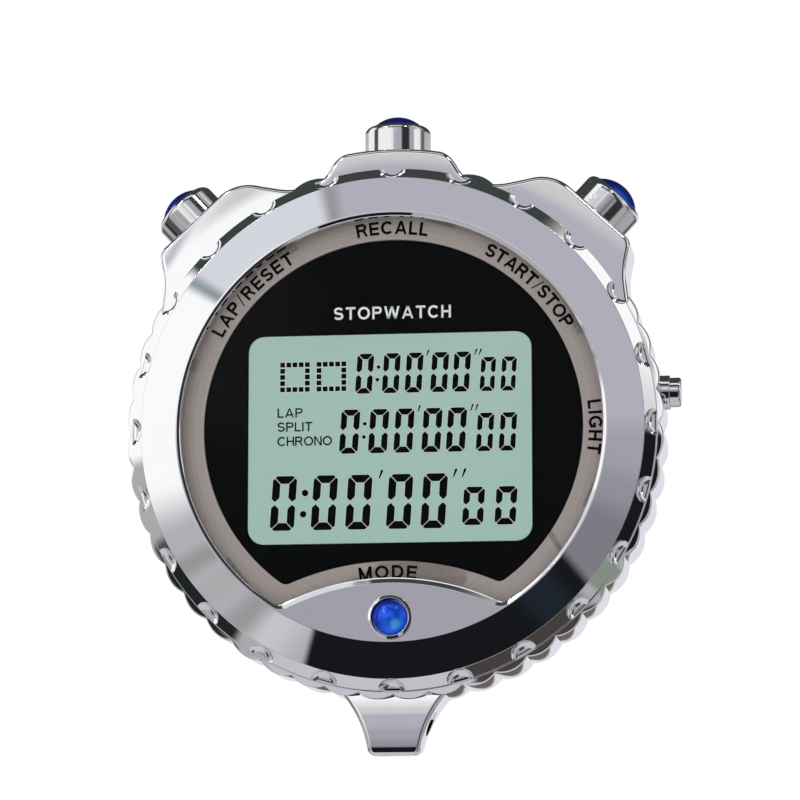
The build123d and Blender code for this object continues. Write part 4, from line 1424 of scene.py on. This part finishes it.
class Sky:
    """World colours built from soft-edged cards placed by direction, in degrees.

    Azimuth 0 is straight in front of the dial and grows to its right; elevation is above the horizon."""

    def __init__(self, base):
        world = bpy.data.worlds.new("studio")
        bpy.context.scene.world = world
        world.use_nodes = True
        world.cycles.sampling_method = "NONE"                         # so that the light-path switches hold
        self.tree = world.node_tree
        self.tree.nodes.clear()
        position = add_node(self.tree, "TexCoord").outputs["Generated"]
        unit = add_node(self.tree, "VectorMath", operation="NORMALIZE")
        plug(self.tree, unit.inputs[0], position)
        direction = add_node(self.tree, "SeparateXYZ", {"Vector": unit.outputs["Vector"]}).outputs
        forward = self.maths("MULTIPLY", direction["Y"], -1.0)
        self.azimuth = self.maths("DEGREES", self.maths("ARCTAN2", direction["X"], forward))
        self.elevation = self.maths("DEGREES", self.maths("ARCSINE", direction["Z"]))
        self.colour = add_node(self.tree, "RGB").outputs[0]
        self.colour.default_value = (*base, 1)

    def maths(self, operation, *values):
        node = add_node(self.tree, "Math", operation=operation)
        for socket, value in zip(node.inputs, values):
            plug(self.tree, socket, value)
        return node.outputs["Value"]

    def between(self, source, low, high, softness):
        """1 between two edges, 0 outside them."""
        rises = []
        for edge in (low, high):
            limits = {"Value": source, "From Min": edge - softness / 2, "From Max": edge + softness / 2}
            rise = add_node(self.tree, "MapRange", limits, interpolation_type="SMOOTHSTEP")
            rises.append(rise.outputs["Result"])
        return self.maths("SUBTRACT", *rises)

    def card(self, left, right, bottom, top, colour, softness):
        """Lay a card over what is there; its softness is the width of its edges."""
        across = self.between(self.azimuth, left, right, softness)
        upwards = self.between(self.elevation, bottom, top, softness)
        self.lay(self.maths("MULTIPLY", across, upwards), colour)

    def lay(self, mask, colour):
        mix = add_node(self.tree, "Mix", {"Factor": mask}, data_type="RGBA")
        plug(self.tree, mix.inputs[6], self.colour)
        if isinstance(colour, (int, float)):
            colour = (colour, colour, colour)
        mix.inputs[7].default_value = (*colour, 1)
        self.colour = mix.outputs[2]

    def finish(self, seen, soft):
        """Reflections see the cards, the camera sees the backdrop and rough surfaces an even light."""
        path = add_node(self.tree, "LightPath").outputs
        self.lay(path["Is Diffuse Ray"], soft)
        self.lay(path["Is Camera Ray"], seen)
        background = add_node(self.tree, "Background", {"Color": self.colour}).outputs["Background"]
        add_node(self.tree, "OutputWorld", {"Surface": background})


CEILING = (0.045, 0.055, 0.05)
TABLE = (0.56, 0.55, 0.60)
CARDS = [                                                  # left, right, bottom, top, colour, softness
    (-184, 184, 62, 95, CEILING, 6),
    (-184, 184, -95, -50, TABLE, 8),
    (115, 184, 14, 64, 0.05, 4),                           # the room behind the watch, to its right
    (115, 184, -9.8, 13, (0.74, 0.75, 0.80), 3),
    (115, 184, -24, -9.8, (0.14, 0.12, 0.105), 2),
    (-184, -120, 14, 64, 0.05, 4),                         # and to its left
    (-184, -120, -9.8, 13, (0.74, 0.75, 0.80), 3),
    (-184, -120, -24, -9.8, (0.14, 0.12, 0.105), 2),
    (-120, -60, 40, 95, CEILING, 3),
    (-60, 60, 37, 95, CEILING, 3),
    (-45, 30, 55, 68, 1.0, 3),                             # roof light
    (-66, -38, 36, 56, 1.0, 3),
    (-84, -60, -30, 42, (0.08, 0.08, 0.085), 4),           # gap between the left cards
    (-95, -84, -30, -14, (0.08, 0.08, 0.085), 3),
    (-120, -85, 3, 40, 1.0, 3),                            # card at the far left
    (-67, -13.5, -11, 36, 1.0, 4),                         # large card at the front left, darker at its top
    (-60, -13.5, 22.3, 40, (0.70, 0.71, 0.77), 1.5),
    (-34, -13.5, 21.9, 22.9, (0.28, 0.33, 0.36), 1.0),
    (-16, -13.5, 23.5, 40, (0.32, 0.32, 0.34), 1.6),
    (-60, -13.5, -11, 1.5, (0.45, 0.45, 0.48), 5),         # grey foot of the large card, with three streaks
    (-60, -13.5, -9.8, -8.2, 0.33, 1.4),
    (-60, -13.5, -7.0, -5.4, 0.42, 1.4),
    (-60, -13.5, -4.4, -2.8, 0.32, 1.4),
    (-14.4, 20, -6, 35, (0.455, 0.44, 0.505), 1.6),        # grey room seen in front, darker downwards
    (-13.5, 20, -6, 8.5, (0.37, 0.36, 0.412), 3),
    (-13.5, 20, -6, 4.0, (0.298, 0.29, 0.332), 3),
    (-13.5, 20, -6, 0.5, (0.211, 0.206, 0.235), 3),
    (-13.5, -8.9, 9, 16.5, 1.0, 1.2),
    (-13, 3, 14.2, 24, 0.62, 2),                           # lamp shade above the camera, brighter upwards
    (-13, 3, 17, 24, 0.8, 3),
    (-13, 3, 19.5, 24, 1.0, 3),
    (-50, -44, 45, 51, 14, 2),                             # small bright lamps
    (-40, -36.5, 29, 32.5, 30, 1),
    (38, 45, 46, 54, 9, 2),
    (20, 48, -36, 40, (0.03, 0.03, 0.035), 5),             # dark strip right of the camera
    (-16, 11, -48, -3.2, (0.008, 0.009, 0.011), 0.8),      # dark table edge under the camera
    (-1, 9.5, -9.8, -3.0, (0.014, 0.019, 0.027), 1.6),
    (74, 84, -24, 7, (0.01, 0.01, 0.012), 1.5),            # objects at the right
    (83, 92, 8, 60, 1.0, 3),
    (70, 92, -36, -28, (0.24, 0.28, 0.23), 2),
    (66, 82, 8, 22, 1.0, 5),
    (97, 114, 8, 24, 0.15, 4),
    (-98, -84, -42, -18, (0.015, 0.018, 0.018), 3),        # dark edges low at the left and the right
    (45, 90, -75, -40, (0.06, 0.052, 0.048), 4),
]


def add_sky():
    sky = Sky((0.42, 0.42, 0.43))
    for card in CARDS:
        sky.card(*card)
    sky.finish(seen=1.0, soft=0.92)


def add_key_light():
    """Broad soft lamp above the left shoulder; mirrors don't see it, because the sky's cards stand for it."""
    lamp = bpy.data.lights.new("key", "AREA")
    lamp.energy = 0.6
    lamp.size = 0.5
    holder = linked("key", lamp)
    holder.location = (-0.35, -0.5, 0.7)
    aim(holder, -holder.location)
    holder.visible_glossy = False


def aim(holder, direction):
    holder.rotation_mode = "QUATERNION"
    holder.rotation_quaternion = direction.to_track_quat("-Z", "Y")


def add_camera():
    """Long lens a little to the right of the dial axis and below it."""
    azimuth = math.radians(7.4)
    elevation = math.radians(-9.4)
    distance = 0.5
    back = Vector((math.sin(azimuth) * math.cos(elevation), -math.cos(azimuth) * math.cos(elevation),
                   math.sin(elevation)))
    long_lens = bpy.data.cameras.new("camera")
    long_lens.sensor_width = 36
    long_lens.lens = 180
    long_lens.clip_start = 0.01
    long_lens.clip_end = 20
    camera = linked("camera", long_lens)
    aim(camera, -back)
    right = camera.rotation_quaternion @ Vector((1, 0, 0))
    up = camera.rotation_quaternion @ Vector((0, 1, 0))
    target = Vector((0, -BEZEL_TOP * MM, 0))
    camera.location = target + back * distance + right * 1.25 * MM + up * 3.06 * MM
    bpy.context.scene.camera = camera


def main():
    paint_cad_nodes()
    add_fixed_pieces()
    add_printing()
    add_large_button("recall", RECALL_PLATEAU, RECALL_BARREL)
    add_large_button("start_stop", SIDE_PLATEAU, SIDE_BARREL)
    add_large_button("lap_reset", SIDE_PLATEAU, SIDE_BARREL)
    add_light_button()
    add_mode_button()
    add_floor()
    add_sky()
    add_key_light()
    add_camera()
    bpy.context.scene.view_settings.view_transform = "Standard"


main()
